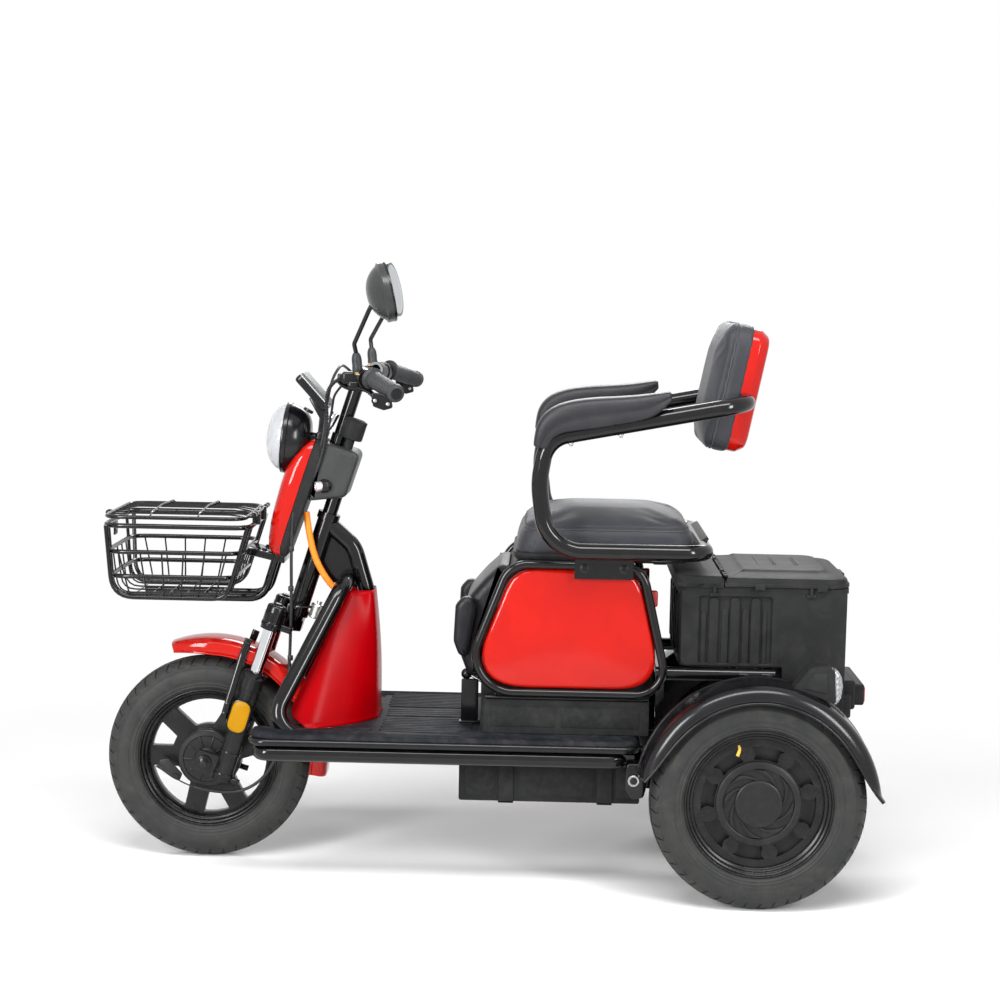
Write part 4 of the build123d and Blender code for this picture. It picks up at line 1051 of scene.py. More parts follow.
def makeMudguard():
    centre, half = Vector(bodySet["guardCentre"]), 50.0
    rings, edges = [], ([], [])
    for k in range(73):
        a = -9 + 118 * k / 72
        nose = max(0.0, (a - 84) / 25)
        tail = max(0.0, (2 - a) / 11)
        width = 1 - 0.32 * nose ** 2
        low = 209.5 + 12 * nose ** 2
        section = [(low, 1.0), (low + (230 - low) * 0.45, 1.0), (229.5, 0.985), (234.2, 0.93), (237.6, 0.82),
                   (239.6, 0.64), (240.7, 0.42), (241, 0.2), (241, 0.0)]
        section = section + [(r, -y) for r, y in reversed(section[:-1])]
        ring = []
        for r, y in section:
            turn = radians(a)
            r = min(241, r + 3.0 * tail * (1 - abs(y)))
            ring.append(centre + Vector((r * cos(turn), y * half * width, r * sin(turn))))
        rings.append(ring)
        edges[0].append(ring[0])
        edges[1].append(ring[-1])
    bm = bmesh.new()
    loftRings(bm, rings, closed=False)
    faceUp(bm)
    piece = newPiece("front_mudguard_skin", bm, "redGloss", steering, ["front_mudguard"], sharp=50, outward=False)
    shell(piece, 2.6)
    bm = bmesh.new()
    for line in edges:
        addTube(bm, line, 2.0, 8)
    newPiece("mudguard_rims", bm, "redGloss", steering)
    bm = bmesh.new()   # flat stays from the lower legs up to the guard, with their bolts
    stay = [(-514, 69, 296), (-507, 67, 322), (-478, 55, 424), (-466, 54, 456)]
    for side in (-1, 1):
        path = bentPath([(x, side * y, z) for x, y, z in stay], [30, 60], steps=5)
        addTube(bm, path, 7.5, 10, flat=0.22, upHint=(0, 1, 0))
    sideBolts(bm, [(-512, 70, 303), (-506, 70, 322)], 4.2, 3.4)
    sideBolts(bm, [(-468, 57, 446)], 3.2, 2.4, "dome")
    newPiece("mudguard_stays", bm, "frameBlack", steering)


def makeBackShell():
    place = local(bodySet["backPlace"], (cos(backLean), 0, -sin(backLean)), (0, 1, 0))
    outline = evenOutline(rectangle(-145, 145, 122), 46, 7)
    bm = bmesh.new()
    layers = [(6, 0.5), (1.2, 0.8), (0.2, 2.0), (0, 4), (0, 21), (0.4, 23), (1.6, 25), (9, 36), (11.5, 38.6),
              (15, 40.2), (24, 42)]
    layered(bm, outline, layers, [(0.8, 42.8), (0.55, 43.4), (0.25, 43.8)], place)
    newPiece("backrest_back_shell", bm, "redGloss", chassis, ["backrest_shell"], sharp=60)


makeSidePanels()
makeLegShield()
makeHoop()
makeCowl()
makeMudguard()
makeBackShell()
print("body panels built")

# padded pieces

seatSet = {"front": 64, "rear": 417, "half": 168, "seam": 703, "pressure": 2.2, "cap": 9.0, "voxel": 6.0}
backSet = {"half": 148.5, "height": 125.5, "corner": 47, "seam": 25.0, "pressure": 2.0, "cap": 8.0, "voxel": 5.0}


def inflated(name, bm, held, values):
    # a voxel skin of the drawn shape, swollen by cloth pressure where it isn't held, and no further than the cap
    bmesh.ops.recalc_face_normals(bm, faces=bm.faces)
    piece = meshPiece(name, bm)
    skin = piece.modifiers.new("skin", "REMESH")
    skin.mode = "VOXEL"
    skin.voxel_size = values["voxel"] * toMetres
    settle(piece)
    before = [v.co.copy() for v in piece.data.vertices]
    group = piece.vertex_groups.new(name="held")
    for v in piece.data.vertices:
        share = held(v.co / toMetres)
        if share > 0:
            group.add([v.index], share, "REPLACE")
    cloth = piece.modifiers.new("cloth", "CLOTH")
    cloth.settings.use_pressure = True
    cloth.settings.uniform_pressure_force = values["pressure"]
    cloth.settings.effector_weights.gravity = 0
    cloth.settings.vertex_group_mass = "held"
    cloth.settings.quality = 5
    cloth.point_cache.frame_end = 20
    for step in range(1, 21):
        bpy.context.scene.frame_set(step)
    settle(piece)
    bpy.context.scene.frame_set(1)
    limit = values["cap"] * toMetres
    for v, old in zip(piece.data.vertices, before):
        move = v.co - old
        if move.length > limit:
            v.co = old + move.normalized() * limit
    bm = bmesh.new()
    bm.from_mesh(piece.data)
    for turn in range(2):
        bmesh.ops.smooth_vert(bm, verts=bm.verts, factor=0.5, use_axis_x=True, use_axis_y=True, use_axis_z=True)
    bm.to_mesh(piece.data)
    bm.free()
    piece.data.shade_smooth()
    piece.vertex_groups.clear()
    return piece


def settle(piece):  # applies the piece's modifiers
    graph = bpy.context.evaluated_depsgraph_get()
    made = bpy.data.meshes.new_from_object(piece.evaluated_get(graph))
    piece.modifiers.clear()
    piece.data = made


def finished(piece, look, replaces):
    dress(piece, look, chassis, replaces)
    smoothed(piece)


def surfaceTree(piece):  # a tree in millimetres for laying seams on a finished skin
    points = [v.co / toMetres for v in piece.data.vertices]
    return BVHTree.FromPolygons(points, [list(p.vertices) for p in piece.data.polygons])


def laidOn(tree, points, lift=0.0):
    made = []
    for p in points:
        spot, normal = tree.find_nearest(Vector(p))[:2]
        made.append(spot + normal * lift)
    return made


def pressLine(piece, line, width, depth, closed=True):  # a soft crease in a skin along a line
    rows = [Vector(p) for p in line]
    near = BVHTree.FromPolygons(
        [p + Vector((0, 0, k * 0.05)) for p in rows for k in (0, 1)],
        [(2 * i, 2 * i + 1, 2 * ((i + 1) % len(rows)) + 1, 2 * ((i + 1) % len(rows)))
         for i in range(len(rows) - (0 if closed else 1))])
    for v in piece.data.vertices:
        distance = near.find_nearest(v.co / toMetres)[3]
        if distance < width:
            v.co -= v.normal * depth * toMetres * (1 - (distance / width) ** 2) ** 2


def addStitches(bm, line, tree, length=4.2, gap=2.6, radius=0.55, lift=0.25):
    marks = resample(line, length + gap)
    for near, far in zip(marks, marks[1:]):
        way = (far - near).normalized() * length
        pair = laidOn(tree, [near, near + way / 2, near + way], lift)
        addTube(bm, pair, [radius * 0.5, radius, radius * 0.5], 5)


def makeSeat():
    low, high, half = seatSet["front"], seatSet["rear"], seatSet["half"]
    outline = evenOutline(rectangle(low, high, half), [58, 50, 50, 58], 9)
    bm = bmesh.new()
    layers = [(26, 649), (7, 649.5), (2, 652), (0, 658), (-1, 676), (0, 694), (3, 706), (9, 716), (20, 724), (38, 729)]
    layered(bm, outline, layers, [(0.8, 731), (0.55, 731.5), (0.25, 731.5)])
    for v in bm.verts:   # the front leans in towards the top and the rear falls away
        rise = max(0.0, v.co.z - 655)
        v.co.x += rise * 0.3 * max(0.0, 1 - (v.co.x - low) / 110) - rise * 0.17 * max(0.0, 1 - (high - v.co.x) / 80)

    def held(p):
        if p.z < 655:
            return 1.0
        return max(0.0, 0.75 * (1 - abs(p.z - seatSet["seam"]) / 7))

    piece = inflated("seat_pad", bm, held, seatSet)
    middle = Vector(((low + high) / 2, 0, 0))
    tree = surfaceTree(piece)
    ring = []
    for x, y in circlePoints(1, 240):   # the seam between top panel and side band
        ring.append(tree.ray_cast(middle + Vector((x * 400, y * 400, seatSet["seam"])), Vector((-x, -y, 0)))[0])
    pressLine(piece, ring, 7.0, 3.2)
    fronts = []
    for side in (-1, 1):   # the joins where the front panel meets the side bands
        line = []
        for k in range(13):
            z = seatSet["seam"] - 2 - 48 * k / 12
            x = 112 - 22 * (k / 12) ** 0.8
            hit = tree.ray_cast(Vector((x, side * 400, z)), Vector((0, -side, 0)))
            if hit[0]:
                line.append(hit[0])
        fronts.append(line)
        pressLine(piece, line, 5.0, 1.8, closed=False)
    tree = surfaceTree(piece)
    bm = bmesh.new()
    addTube(bm, laidOn(tree, ring, 0.1), 1.5, 8, closed=True)
    for line in fronts:
        for shift in (-5.5, 5.5):
            addStitches(bm, [p + Vector((shift, 0, 0)) for p in line], tree)
    for shift in (4.5, 8.0):
        raised = laidOn(tree, [p + Vector((0, 0, shift)) + (middle - p).normalized() * 0.5 for p in ring], 0)
        addStitches(bm, raised + raised[:1], tree, 4.0, 3.0)
    newPiece("seat_seams", bm, "threadBlack", chassis, merge=0)
    finished(piece, "seatVinyl", ["seat_cushion"])

    bm = bmesh.new()   # moulded pan under the pad, with its turned-out rear lip
    pan = evenOutline(rectangle(62, 404, 166), [56, 48, 48, 56], 12)
    layered(bm, pan, [(20, 638), (5, 639), (1, 642), (-1, 646), (-1.5, 652), (-0.5, 654), (3, 654)])
    lip = [(385, 645), (406, 645), (420, 655), (432, 672), (442, 688), (438, 692), (424, 683), (408, 672), (385, 664)]
    addPlate(bm, roundCorners(lip, 9, 3), -148, 148, 3.0, 3)
    for x in (110, 350):
        for side in (-1, 1):
            addBox(bm, (x - 14, side * 96 - 14, 630), (x + 14, side * 96 + 14, 641), 3, 2)
    newPiece("seat_pan", bm, "stipplePlastic", chassis)


def makeBackPad():
    place = local(bodySet["backPlace"], (-cos(backLean), 0, sin(backLean)), (0, 1, 0))
    half, height = backSet["half"], backSet["height"]
    outline = evenOutline(rectangle(-half, half, height), backSet["corner"], 9)
    bm = bmesh.new()
    layers = [(14, -8), (3, -8), (0.6, -6.6), (0, -3), (-0.5, 10), (0, 24), (1, 34), (6, 42), (15, 46), (32, 48)]
    layered(bm, outline, layers, [(0.75, 48.5), (0.5, 49), (0.25, 49)], place)
    back = place.inverted()

    def held(p):
        depth = (back @ p).z
        if depth < 6:
            return 1.0
        return max(0.0, 0.7 * (1 - abs(depth - backSet["seam"]) / 6))

    piece = inflated("backrest_cushion", bm, held, backSet)
    tree = surfaceTree(piece)
    ring = []
    for x, y in circlePoints(1, 220):
        start = place @ Vector((x * 300, y * 300, backSet["seam"]))
        ring.append(tree.ray_cast(start, place.to_3x3() @ Vector((-x, -y, 0)))[0])
    pressLine(piece, ring, 6.0, 3.0)
    tree = surfaceTree(piece)
    bm = bmesh.new()
    addTube(bm, laidOn(tree, ring, 0.6), 1.9, 8, closed=True)
    forward = place.to_3x3() @ Vector((0, 0, 1))
    raised = laidOn(tree, [p + forward * 5.5 for p in ring], 0)
    addStitches(bm, raised + raised[:1], tree, 4.0, 3.0)
    newPiece("backrest_seams", bm, "threadBlack", chassis, merge=0)
    finished(piece, "seatVinyl", ["backrest_pad"])


armTop = [(97, 872), (99, 898), (107, 922), (128, 944), (160, 957), (205, 964), (255, 967), (300, 971), (335, 976),
          (352, 978)]
armLow = [(124, 866), (129, 878), (139, 889), (154, 896), (178, 900), (215, 905), (260, 913), (300, 921), (332, 933),
          (354, 958)]
armWide = [19, 24, 27, 29, 29.5, 29.5, 29, 28, 26, 19]
armSection = [(0.0, 0.0), (0.6, 0.0), (0.8, 0.03), (0.88, 0.12), (0.9, 0.27), (0.87, 0.4), (0.9, 0.46), (0.99, 0.55),
              (1.0, 0.7), (0.92, 0.86), (0.74, 0.95), (0.45, 0.99), (0.0, 1.0)]


def makeArmPads():
    count = 40
    tops = resample(splinePath([(x, 0, z) for x, z in armTop], 8), 1)
    lows = resample(splinePath([(x, 0, z) for x, z in armLow], 8), 1)
    for side in (-1, 1):
        bm, rings = bmesh.new(), []
        for k in range(-2, count + 3):
            t = min(1, max(0, k / count))
            cap = 1.0 if 0 <= k <= count else (0.86, 0.5)[abs(k if k < 0 else k - count) - 1]
            last = len(tops) - 1
            at = round(t * last)
            top, low = tops[at], lows[round(t * (len(lows) - 1))]
            along = (tops[min(last, at + 2)] - tops[max(0, at - 2)]).normalized()
            shift = along * (2.2 if cap > 0.6 else 3.4) * (0 if 0 <= k <= count else (1 if k > 0 else -1))
            wide = blend([(i / 9, w) for i, w in enumerate(armWide)], t)[0] * cap
            middle = (top + low) / 2
            section = armSection + [(-u, v) for u, v in reversed(armSection[1:-1])]
            rings.append([
                middle + (low + (top - low) * v - middle) * cap + shift + Vector((0, side * 250 + u * wide, 0))
                for u, v in section])
        loftRings(bm, rings)
        name = "left" if side < 0 else "right"
        piece = newPiece(f"arm_pad_{name}", bm, "armSkin", chassis, ["arm_pads"], sharp=180)
        smoothed(piece)
    bm = bmesh.new()   # screws that hold the pads from below
    for side in (-1, 1):
        for x in (168, 262):
            z = 884 + (x - 123) * 0.192 - 16
            addBolt(bm, (x, side * 250, z), (0.19, 0, -0.98), 4.0, 5.0, "dome")
    newPiece("arm_pad_screws", bm, "zincSteel", chassis)


makeSeat()
makeBackPad()
makeArmPads()
print("padded pieces built")

# basket and its lid

basketSet = {
    "rows": [  # height, front, rear, half width, tube radius
        (689, -742, -456, 143, 5.0), (637, -739, -474, 138, 4.6), (588, -733, -488, 132, 4.6),
        (548, -712, -504, 121, 3.0)],
    "corner": 40, "wire": 1.7, "sideWires": 6, "endWires": 4,
}


def basketRow(height):
    rows = sorted(basketSet["rows"])
    return blend([(row[0], *row[1:]) for row in rows], height)


def ringPath(low, high, half, height, corner):
    points = [(low, -half, height), (high, -half, height), (high, half, height), (low, half, height)]
    return bentPath(points, corner, closed=True, steps=5)


def basketHoop(xs, tops, floors):  # down the front, along the floor and up the rear: (across, height) pairs
    return [(xs[0], *tops), (xs[1], *floors), (xs[2], *floors), (xs[3], *tops)]


def makeBasket():
    bm = bmesh.new()
    for height, low, high, half, radius in basketSet["rows"][:3]:
        addTube(bm, ringPath(low, high, half, height, basketSet["corner"]), radius, 12, closed=True)
    for side in (-1, 1):
        route = basketHoop((-737, -728, -502, -459), (side * 142, 689), (side * 122, 545))
        addTube(bm, bentPath(route, [46, 40]), 4.4, 12)
    for across in (-92, 92):
        route = basketHoop((-742, -731, -500, -457), (across, 689), (across, 547))
        addTube(bm, bentPath(route, [40, 36]), 3.4, 10)
    newPiece("basket_rails", bm, "frameBlack", steering, ["basket"])

    bm = bmesh.new()
    wire = basketSet["wire"]
    top, floor = basketRow(637), basketRow(548)
    for k in range(basketSet["sideWires"]):
        t = (k + 0.6) / (basketSet["sideWires"] + 0.2)
        xTop, xLow = top[0] + (top[1] - top[0]) * t, floor[0] + (floor[1] - floor[0]) * t
        route = [(xTop, -139, 639), (xLow, -126, 546), (xLow, 126, 546), (xTop, 139, 639)]
        addTube(bm, bentPath(route, 22, steps=4), wire, 8)
    for k in range(basketSet["endWires"]):
        across = -66 + 132 * k / (basketSet["endWires"] - 1)
        route = basketHoop((-739, -727, -506, -474), (across, 639), (across, 547))
        addTube(bm, bentPath(route, 30, steps=4), wire, 8)
    newPiece("basket_wires", bm, "frameBlack", steering)

    bm = bmesh.new()   # carrier tubes, straps and the front latch
    for side in (-1, 1):
        y = side * 38
        addTube(bm, bentPath([(-690, y, 537), (-440, y, 537), (-388, y, 712)], 40), 8, 20)
    addPlate(bm, [(-478, 641), (-398, 623), (-398, 608), (-478, 626)], -44, 44, 2.5, 3)
    addBox(bm, (-560, -60, 540), (-532, 60, 544), 2, 2)
    for y in (-30, 30):
        addBolt(bm, (-440, y, 632.5), (0.22, 0, 1), 4.2, 3.2)
    addBox(bm, (-748, -13, 655), (-744, 13, 690), 1.5, 2)
    hook = [(-746, 0, 676), (-754, 0, 690), (-764, 0, 697), (-763, 0, 704), (-754, 0, 703), (-748, 0, 697)]
    for y in (-6, 6):
        addTube(bm, bentPath([(x, y, z) for x, _, z in hook], 6, steps=4), 1.7, 8)
    addRod(bm, (-763.5, -7, 700), (-763.5, 7, 700), 1.8, steps=10)
    for side in (-1, 1):   # ears that carry the lid's hinge bar
        addBox(bm, (-462, side * 46 - 6, 686), (-446, side * 46 + 6, 714), 2.5, 2)
    addRod(bm, (-451, -110, 711), (-451, 110, 711), 2.5, steps=16)
    newPiece("basket_carrier", bm, "frameBlack", steering)

    bm = bmesh.new()
    addTube(bm, ringPath(-741, -466, 142, 706, 38), 4.0, 12, closed=True)
    for x in (-650, -556):   # arched cross wires, and lengthwise wires that rest on them
        route = [(x, -142, 709), (x, -120, 715), (x, 0, 719), (x, 120, 715), (x, 142, 709)]
        addTube(bm, bentPath(route, 60, steps=4), 1.8, 8)
    for k in range(7):
        y = -105 + 35 * k
        lift = 4.5 * (1 - abs(y) / 150)
        route = [(-740, y, 707), (-700, y, 709 + lift), (-500, y, 709 + lift), (-467, y, 707)]
        addTube(bm, bentPath(route, 30, steps=4), 1.6, 8)
    for side in (-1, 1):
        for y in (72, 100):
            lathe(bm, [(2.7, -7), (5, -7), (5, 7), (2.7, 7)], local((-451, side * y, 711), (0, 1, 0)), 20, closed=True)
            addBox(bm, (-468, side * y - 6, 705), (-453, side * y + 6, 709.5), 1.5, 2)
    newPiece("basket_lid_frame", bm, "frameBlack", "basket_lid", ["basket_lid"])


# handlebar group

barSet = {
    "gripStart": (-210, -217.3, 988.1), "gripEnd": (-159.4, -317.3, 966.6), "gripRadius": 16.2,
    "mirrorPlaces": (((-178, -240, 1156), (-0.955, -0.17, -0.22)), ((-203, 240, 1159), (-0.96, 0.15, -0.2))),
    "lampPlace": (-403, 0, 859), "lampFacing": (-0.995, 0, 0.098),
}


def makeHeadlight():
    place = local(barSet["lampPlace"], barSet["lampFacing"], (0, 1, 0))
    bm = bmesh.new()
    lathe(bm, [(66, -2), (66, -8), (30, -20), (12, -40), (0, -44), (0, -52), (26, -51.5), (38, -49.5), (48, -45),
               (57, -37), (63.5, -27), (67.5, -16), (69, -9), (71, -7.5), (71.6, -6), (71.6, 0), (71, 1.6), (69.5, 2.4),
               (67.5, 2.2), (66.5, 1)], place, 128, closed=False)
    addRod(bm, place @ Vector((0, 0, -48)), place @ Vector((0, 0, -74)), 18, 16, 40)
    addBox(bm, (-340, -17, 845), (-322, 17, 872), 4, 3)
    sideBolts(bm, [(-345, 17.5, 858)], 5, 4, "cap")
    newPiece("headlight_body", bm, "glossBlack", steering, ["headlight"], sharp=30)
    bm = bmesh.new()
    lathe(bm, [(65.5, 0), (62, -6), (50, -13), (36, -18), (24, -21), (13, -22), (13, -24), (24, -23), (36, -20),
               (50, -15), (62, -8), (66, -1)], place, 96, closed=True)
    newPiece("headlight_reflector", bm, "lampSilver", steering)
    bm = bmesh.new()
    lathe(bm, [(0, -20), (7, -20), (7.5, -8), (6, -2), (3, 1), (0, 2)], place, 24)
    newPiece("headlight_bulb", bm, "whiteEdge", steering)
    dome = [(66 * sin(pi / 2 * k / 22), 1 + 36 * cos(pi / 2 * k / 22) ** 0.92) for k in range(23)]
    inner = [(r * 0.965, h - 2.4 * (1 - r / 80)) for r, h in reversed(dome)]
    bm = bmesh.new()
    lathe(bm, dome + [(66, 0.2)] + [(max(0, r), max(0.2, h)) for r, h in inner], place, 96)
    newPiece("headlight_dome", bm, "lampLens", steering, ["headlight_lens"], sharp=60)


def makeMirrors():
    outline = [Vector((60 * x * (1 + 0.06 * y), 57 * y)) for x, y in circlePoints(1, 72)]
    body, rim, glass = bmesh.new(), bmesh.new(), bmesh.new()
    for origin, facing in barSet["mirrorPlaces"]:
        place = local(origin, facing, (0, 1, 0))
        layered(body, outline, [(4, 0.6), (1.4, 0.3), (0.4, 1.2), (0, 2.6), (0, 15.6), (0.8, 16.6), (2.4, 17.2)],
                [(0.93, 20), (0.88, 24), (0.8, 29), (0.7, 34), (0.58, 38.5), (0.44, 42), (0.28, 44.5), (0.1, 45.6)],
                place)
        layered(rim, outline, [(0.6, 4.4), (-0.4, 4.2), (-0.6, 3.6), (-0.6, 0.8), (-0.2, 0.2), (1.5, 0.1)], (), place)
        layered(glass, outline, [(5.5, 0.9), (4.6, 0.5), (4.8, 0.1), (5.4, 0.0)],
                [(0.7, -0.02), (0.4, -0.04), (0.1, -0.05)], place)
    newPiece("mirror_heads", body, "mirrorShell", steering, ["mirrors"], sharp=34)
    newPiece("mirror_bands", rim, "glossBlack", steering)
    newPiece("mirror_glasses", glass, "mirrorGlass", steering)
    bm, boots, rings = bmesh.new(), bmesh.new(), bmesh.new()
    foot, top = Vector((-243, -178, 998)), Vector((-247, -180, 1037))
    addTube(bm, bentPath([foot, top, (-250, -190, 1054), (-219, -236, 1118), (-208, -240, 1140)], [0, 14, 30]), 4.4, 16)
    lathe(boots, [(0, 2), (9.8, 2), (10.2, 3.5), (10.2, 12), (9.7, 13), (9.9, 24), (9.2, 31), (7.4, 36), (5.6, 39),
                  (0, 39)], local(foot, top - foot), 32)
    lathe(rings, [(0, -3), (7.5, -3), (7.5, 0), (9, 0.4), (9, 2.4), (0, 2.4)], local(foot, top - foot), 6)
    for part, name, look in ((bm, "mirror_stems", "frameBlack"), (boots, "mirror_boots", "gripRubber"),
                             (rings, "mirror_nuts", "goldZinc")):
        mirrorAll(part)
        newPiece(name, part, look, steering)


def makeGrips():
    start, end = Vector(barSet["gripStart"]), Vector(barSet["gripEnd"])
    place = local(start, end - start, (0, 0, 1))
    length = (end - start).length
    r = barSet["gripRadius"]
    profile = [(11.1, -6), (20, -6), (21.5, -5), (21.8, -3), (21.0, -1), (18.5, 1), (r + 0.6, 4)]
    count = 14
    for k in range(count):   # shallow rings along the grip
        h = 8 + (length - 22) * k / count
        swell = r + 0.5 * sin(pi * k / count)
        profile += [(swell, h), (swell, h + 4.6), (swell - 0.45, h + 5.2), (swell - 0.45, h + 5.8)]
    profile += [(r, length - 11), (r + 1.2, length - 10), (r + 1.4, length - 4), (r + 0.6, length), (13, length + 2.4),
                (10.5, length + 2.6), (9.5, length + 1.4), (6, length + 1.2), (5.2, length + 0.8), (4.6, length - 6),
                (0, length - 6)]
    bm = bmesh.new()
    lathe(bm, profile, place, 48)
    mirrorAll(bm)
    newPiece("grip_sleeves", bm, "gripRubber", steering, ["grips"], sharp=30)


def makeLevers():
    bm = bmesh.new()
    bar = Vector((-231, -165, 990))
    along = Vector((0.255, -0.917, -0.107)).normalized()
    place = local(bar, along, (0, 0, 1))
    lathe(bm, [(11.2, -17), (16.5, -17), (17.6, -15.8), (17.6, 15.8), (16.5, 17), (11.2, 17)], place, 40, closed=True)
    lathe(bm, [(11.2, 19), (18.2, 19), (19.6, 20.4), (19.6, 34), (18.4, 35.4), (11.2, 35.4)], place, 40, closed=True)
    addBox(bm, (-275, -176, 975), (-238, -140, 1000), 6, 4)      # perch with its two halves
    addBox(bm, (-284, -168, 980), (-268, -146, 996), 4, 3)
    addBox(bm, (-262, -182, 966), (-240, -150, 982), 4, 3)
    addBox(bm, (-236, -196, 996), (-214, -170, 1006), 4, 3)     # switch pod beside the grip
    blade = [(-284, -146, 982, 5), (-276, -156, 974, 7), (-258, -170, 967, 7.5), (-238, -182, 969, 7),
             (-222, -204, 966, 7), (-207, -236, 958, 6.5), (-201, -270, 952, 6.5), (-198, -300, 950, 7),
             (-197, -312, 950, 6)]
    route = resample(bentPath([b[:3] for b in blade], 40, steps=4), 5)
    thick = [(k / (len(blade) - 1), b[3]) for k, b in enumerate(blade)]
    addTube(bm, route, [blend(thick, k / (len(route) - 1))[0] for k in range(len(route))], 14, flat=0.62)
    tip = [(-206, 968), (-184, 966), (-168, 956), (-165, 940), (-182, 935), (-202, 942)]
    addPlate(bm, roundCorners(tip, 5, 4), -320, -308, 2.5, 3)
    for x, z in ((-198, 953), (-174, 947)):
        lathe(bm, [(3.6, -8), (6.4, -8), (7, -7), (7, 7), (6.4, 8), (3.6, 8)], local((x, -314, z), (0, 1, 0)), 24,
              closed=True)
    mirrorAll(bm)
    newPiece("brake_lever_sets", bm, "glossBlack", steering, ["brake_levers"], sharp=35)
    bm = bmesh.new()
    addBolt(bm, (-247, -162, 1000), (0, 0, 1), 5.6, 4)
    mirrorAll(bm)
    newPiece("lever_pivots", bm, "goldZinc", steering)
    bm = bmesh.new()
    for x, z in ((-198, 953), (-174, 947)):
        addRod(bm, (x, -321.5, z), (x, -306.5, z), 3.8, steps=20)
    mirrorAll(bm)
    newPiece("lever_end_pins", bm, "zincSteel", steering)


makeBasket()
makeHeadlight()
makeMirrors()
makeGrips()
makeLevers()
print("basket and bar built")


# storage box, fenders and lamps

boxSet = {"front": 388, "rear": 712, "half": 171, "seam": 472, "lidRear": 719, "lidHalf": 184}
fenderSet = {"start": 3, "end": 169, "rows": 84, "centre": (536, -296, 206.5)}   # angles from the rear


def makeBox():
    # side walls with a sunk field of ribs, ribs on the end walls, clips and the lock plate
    bm = bmesh.new()
    place = sideFrame()
    wall = [(391, 444), (588, 444), (588, 355), (709, 355), (710, 592), (390, 592)]
    field = [(424, 449), (566, 449), (566, 580), (424, 580)]
    webPlate(bm, roundCorners(wall, [14, 4, 14, 14, 5, 5], 5), [list(reversed(roundCorners(field, 6, 4)))], 170, 176.5,
             place, 2.2)
    y = -boxSet["half"]
    for middle, half, top, rise in ((434, 5, 548, 3), (453, 9, 570, 6), (475, 6.5, 550, 3), (494, 9, 570, 6),
                                    (515, 6.5, 550, 3), (534, 9, 570, 6), (552, 4, 550, 3)):
        rib = [(middle - half, 447), (middle + half, 447)] + [
            (middle + half * cos(pi * k / 8), top + half * 0.8 * sin(pi * k / 8)) for k in range(9)]
        addPlate(bm, rib, y - rise, y + 1, 1.8, 3)
    for x in (453, 640):
        addBox(bm, (x - 3, y - 12, 584), (x + 3, y - 3, 602), 1.4, 2)
        addBox(bm, (x - 9, y - 10, 580), (x + 9, y - 3, 587), 1.6, 2)
    mirrorAll(bm)
    for k in range(5):
        across = -112 + 56 * k
        addBox(bm, (boxSet["rear"] - 1, across - 11, 372), (boxSet["rear"] + 3, across + 11, 574), 2, 2)
        addBox(bm, (boxSet["front"] - 3, across - 11, 458), (boxSet["front"] + 1, across + 11, 574), 2, 2)
    addBox(bm, (boxSet["rear"] - 2, -26, 560), (boxSet["rear"] + 6, 26, 592), 3, 3)
    lathe(bm, [(0, 0), (9, 0), (9, 3), (7.5, 4), (3, 4), (2.4, 2), (0, 2)],
          local((boxSet["rear"] + 6, 0, 576), (1, 0, 0)), 28)
    newPiece("box_ribs", bm, "stipplePlastic", chassis)


def makeLid():
    low, high, half = boxSet["seam"], boxSet["lidRear"], boxSet["lidHalf"]
    outline = evenOutline(rectangle(low, high, half),
                          [2, 58, 58, 2], 8)
    bm = bmesh.new()
    layers = [(2.5, 600), (0.8, 599.4), (0, 600.5), (0, 605.5), (1, 607), (3, 607.8), (3.6, 609), (4, 612), (5, 614.4),
              (7, 616), (10, 617)]
    layered(bm, outline, layers, [(0.86, 620.5), (0.77, 623.4), (0.75, 624.6), (0.72, 627), (0.69, 628), (0.4, 628.8)])
    for x in (580, 624):    # two long grooves with a raised lip
        addBox(bm, (x - 3.4, -56, 626), (x - 1.2, 56, 630), 0.8, 2)
        addBox(bm, (x + 1.2, -56, 626), (x + 3.4, 56, 630), 0.8, 2)
    addBox(bm, (high - 4, -32, 596), (high + 4, 32, 612), 3, 3)
    for x in (540, 660):
        for side in (-1, 1):
            addBox(bm, (x - 10, side * (half - 2), 594), (x + 10, side * (half + 3), 606), 1.8, 2)
    newPiece("box_lid_skin", bm, "stipplePlastic", "box_lid", ["box_lid"], sharp=28)
    bm = bmesh.new()
    for k in range(-5, 6):   # fine knuckles along the hinge seam
        addBox(bm, (low - 1.5, 32 * k - 9, 616.5), (low + 7, 32 * k + 9, 620.6), 1.2, 2)
    newPiece("box_lid_knuckles", bm, "stipplePlastic", "box_lid")
    bm = bmesh.new()         # sloped hood over the fixed front cap
    cap = evenOutline(rectangle(378, 470, half), [26, 2, 2, 26], 8)
    layered(bm, cap, [(3, 598), (1, 597.6), (0, 599), (0, 605), (1, 606.6), (3, 607.4), (3.6, 609), (4.4, 613),
                      (6.5, 616), (10, 617.6)], [(0.8, 619.4), (0.6, 620.4), (0.3, 620.8)])
    newPiece("box_cap", bm, "stipplePlastic", chassis, sharp=28)


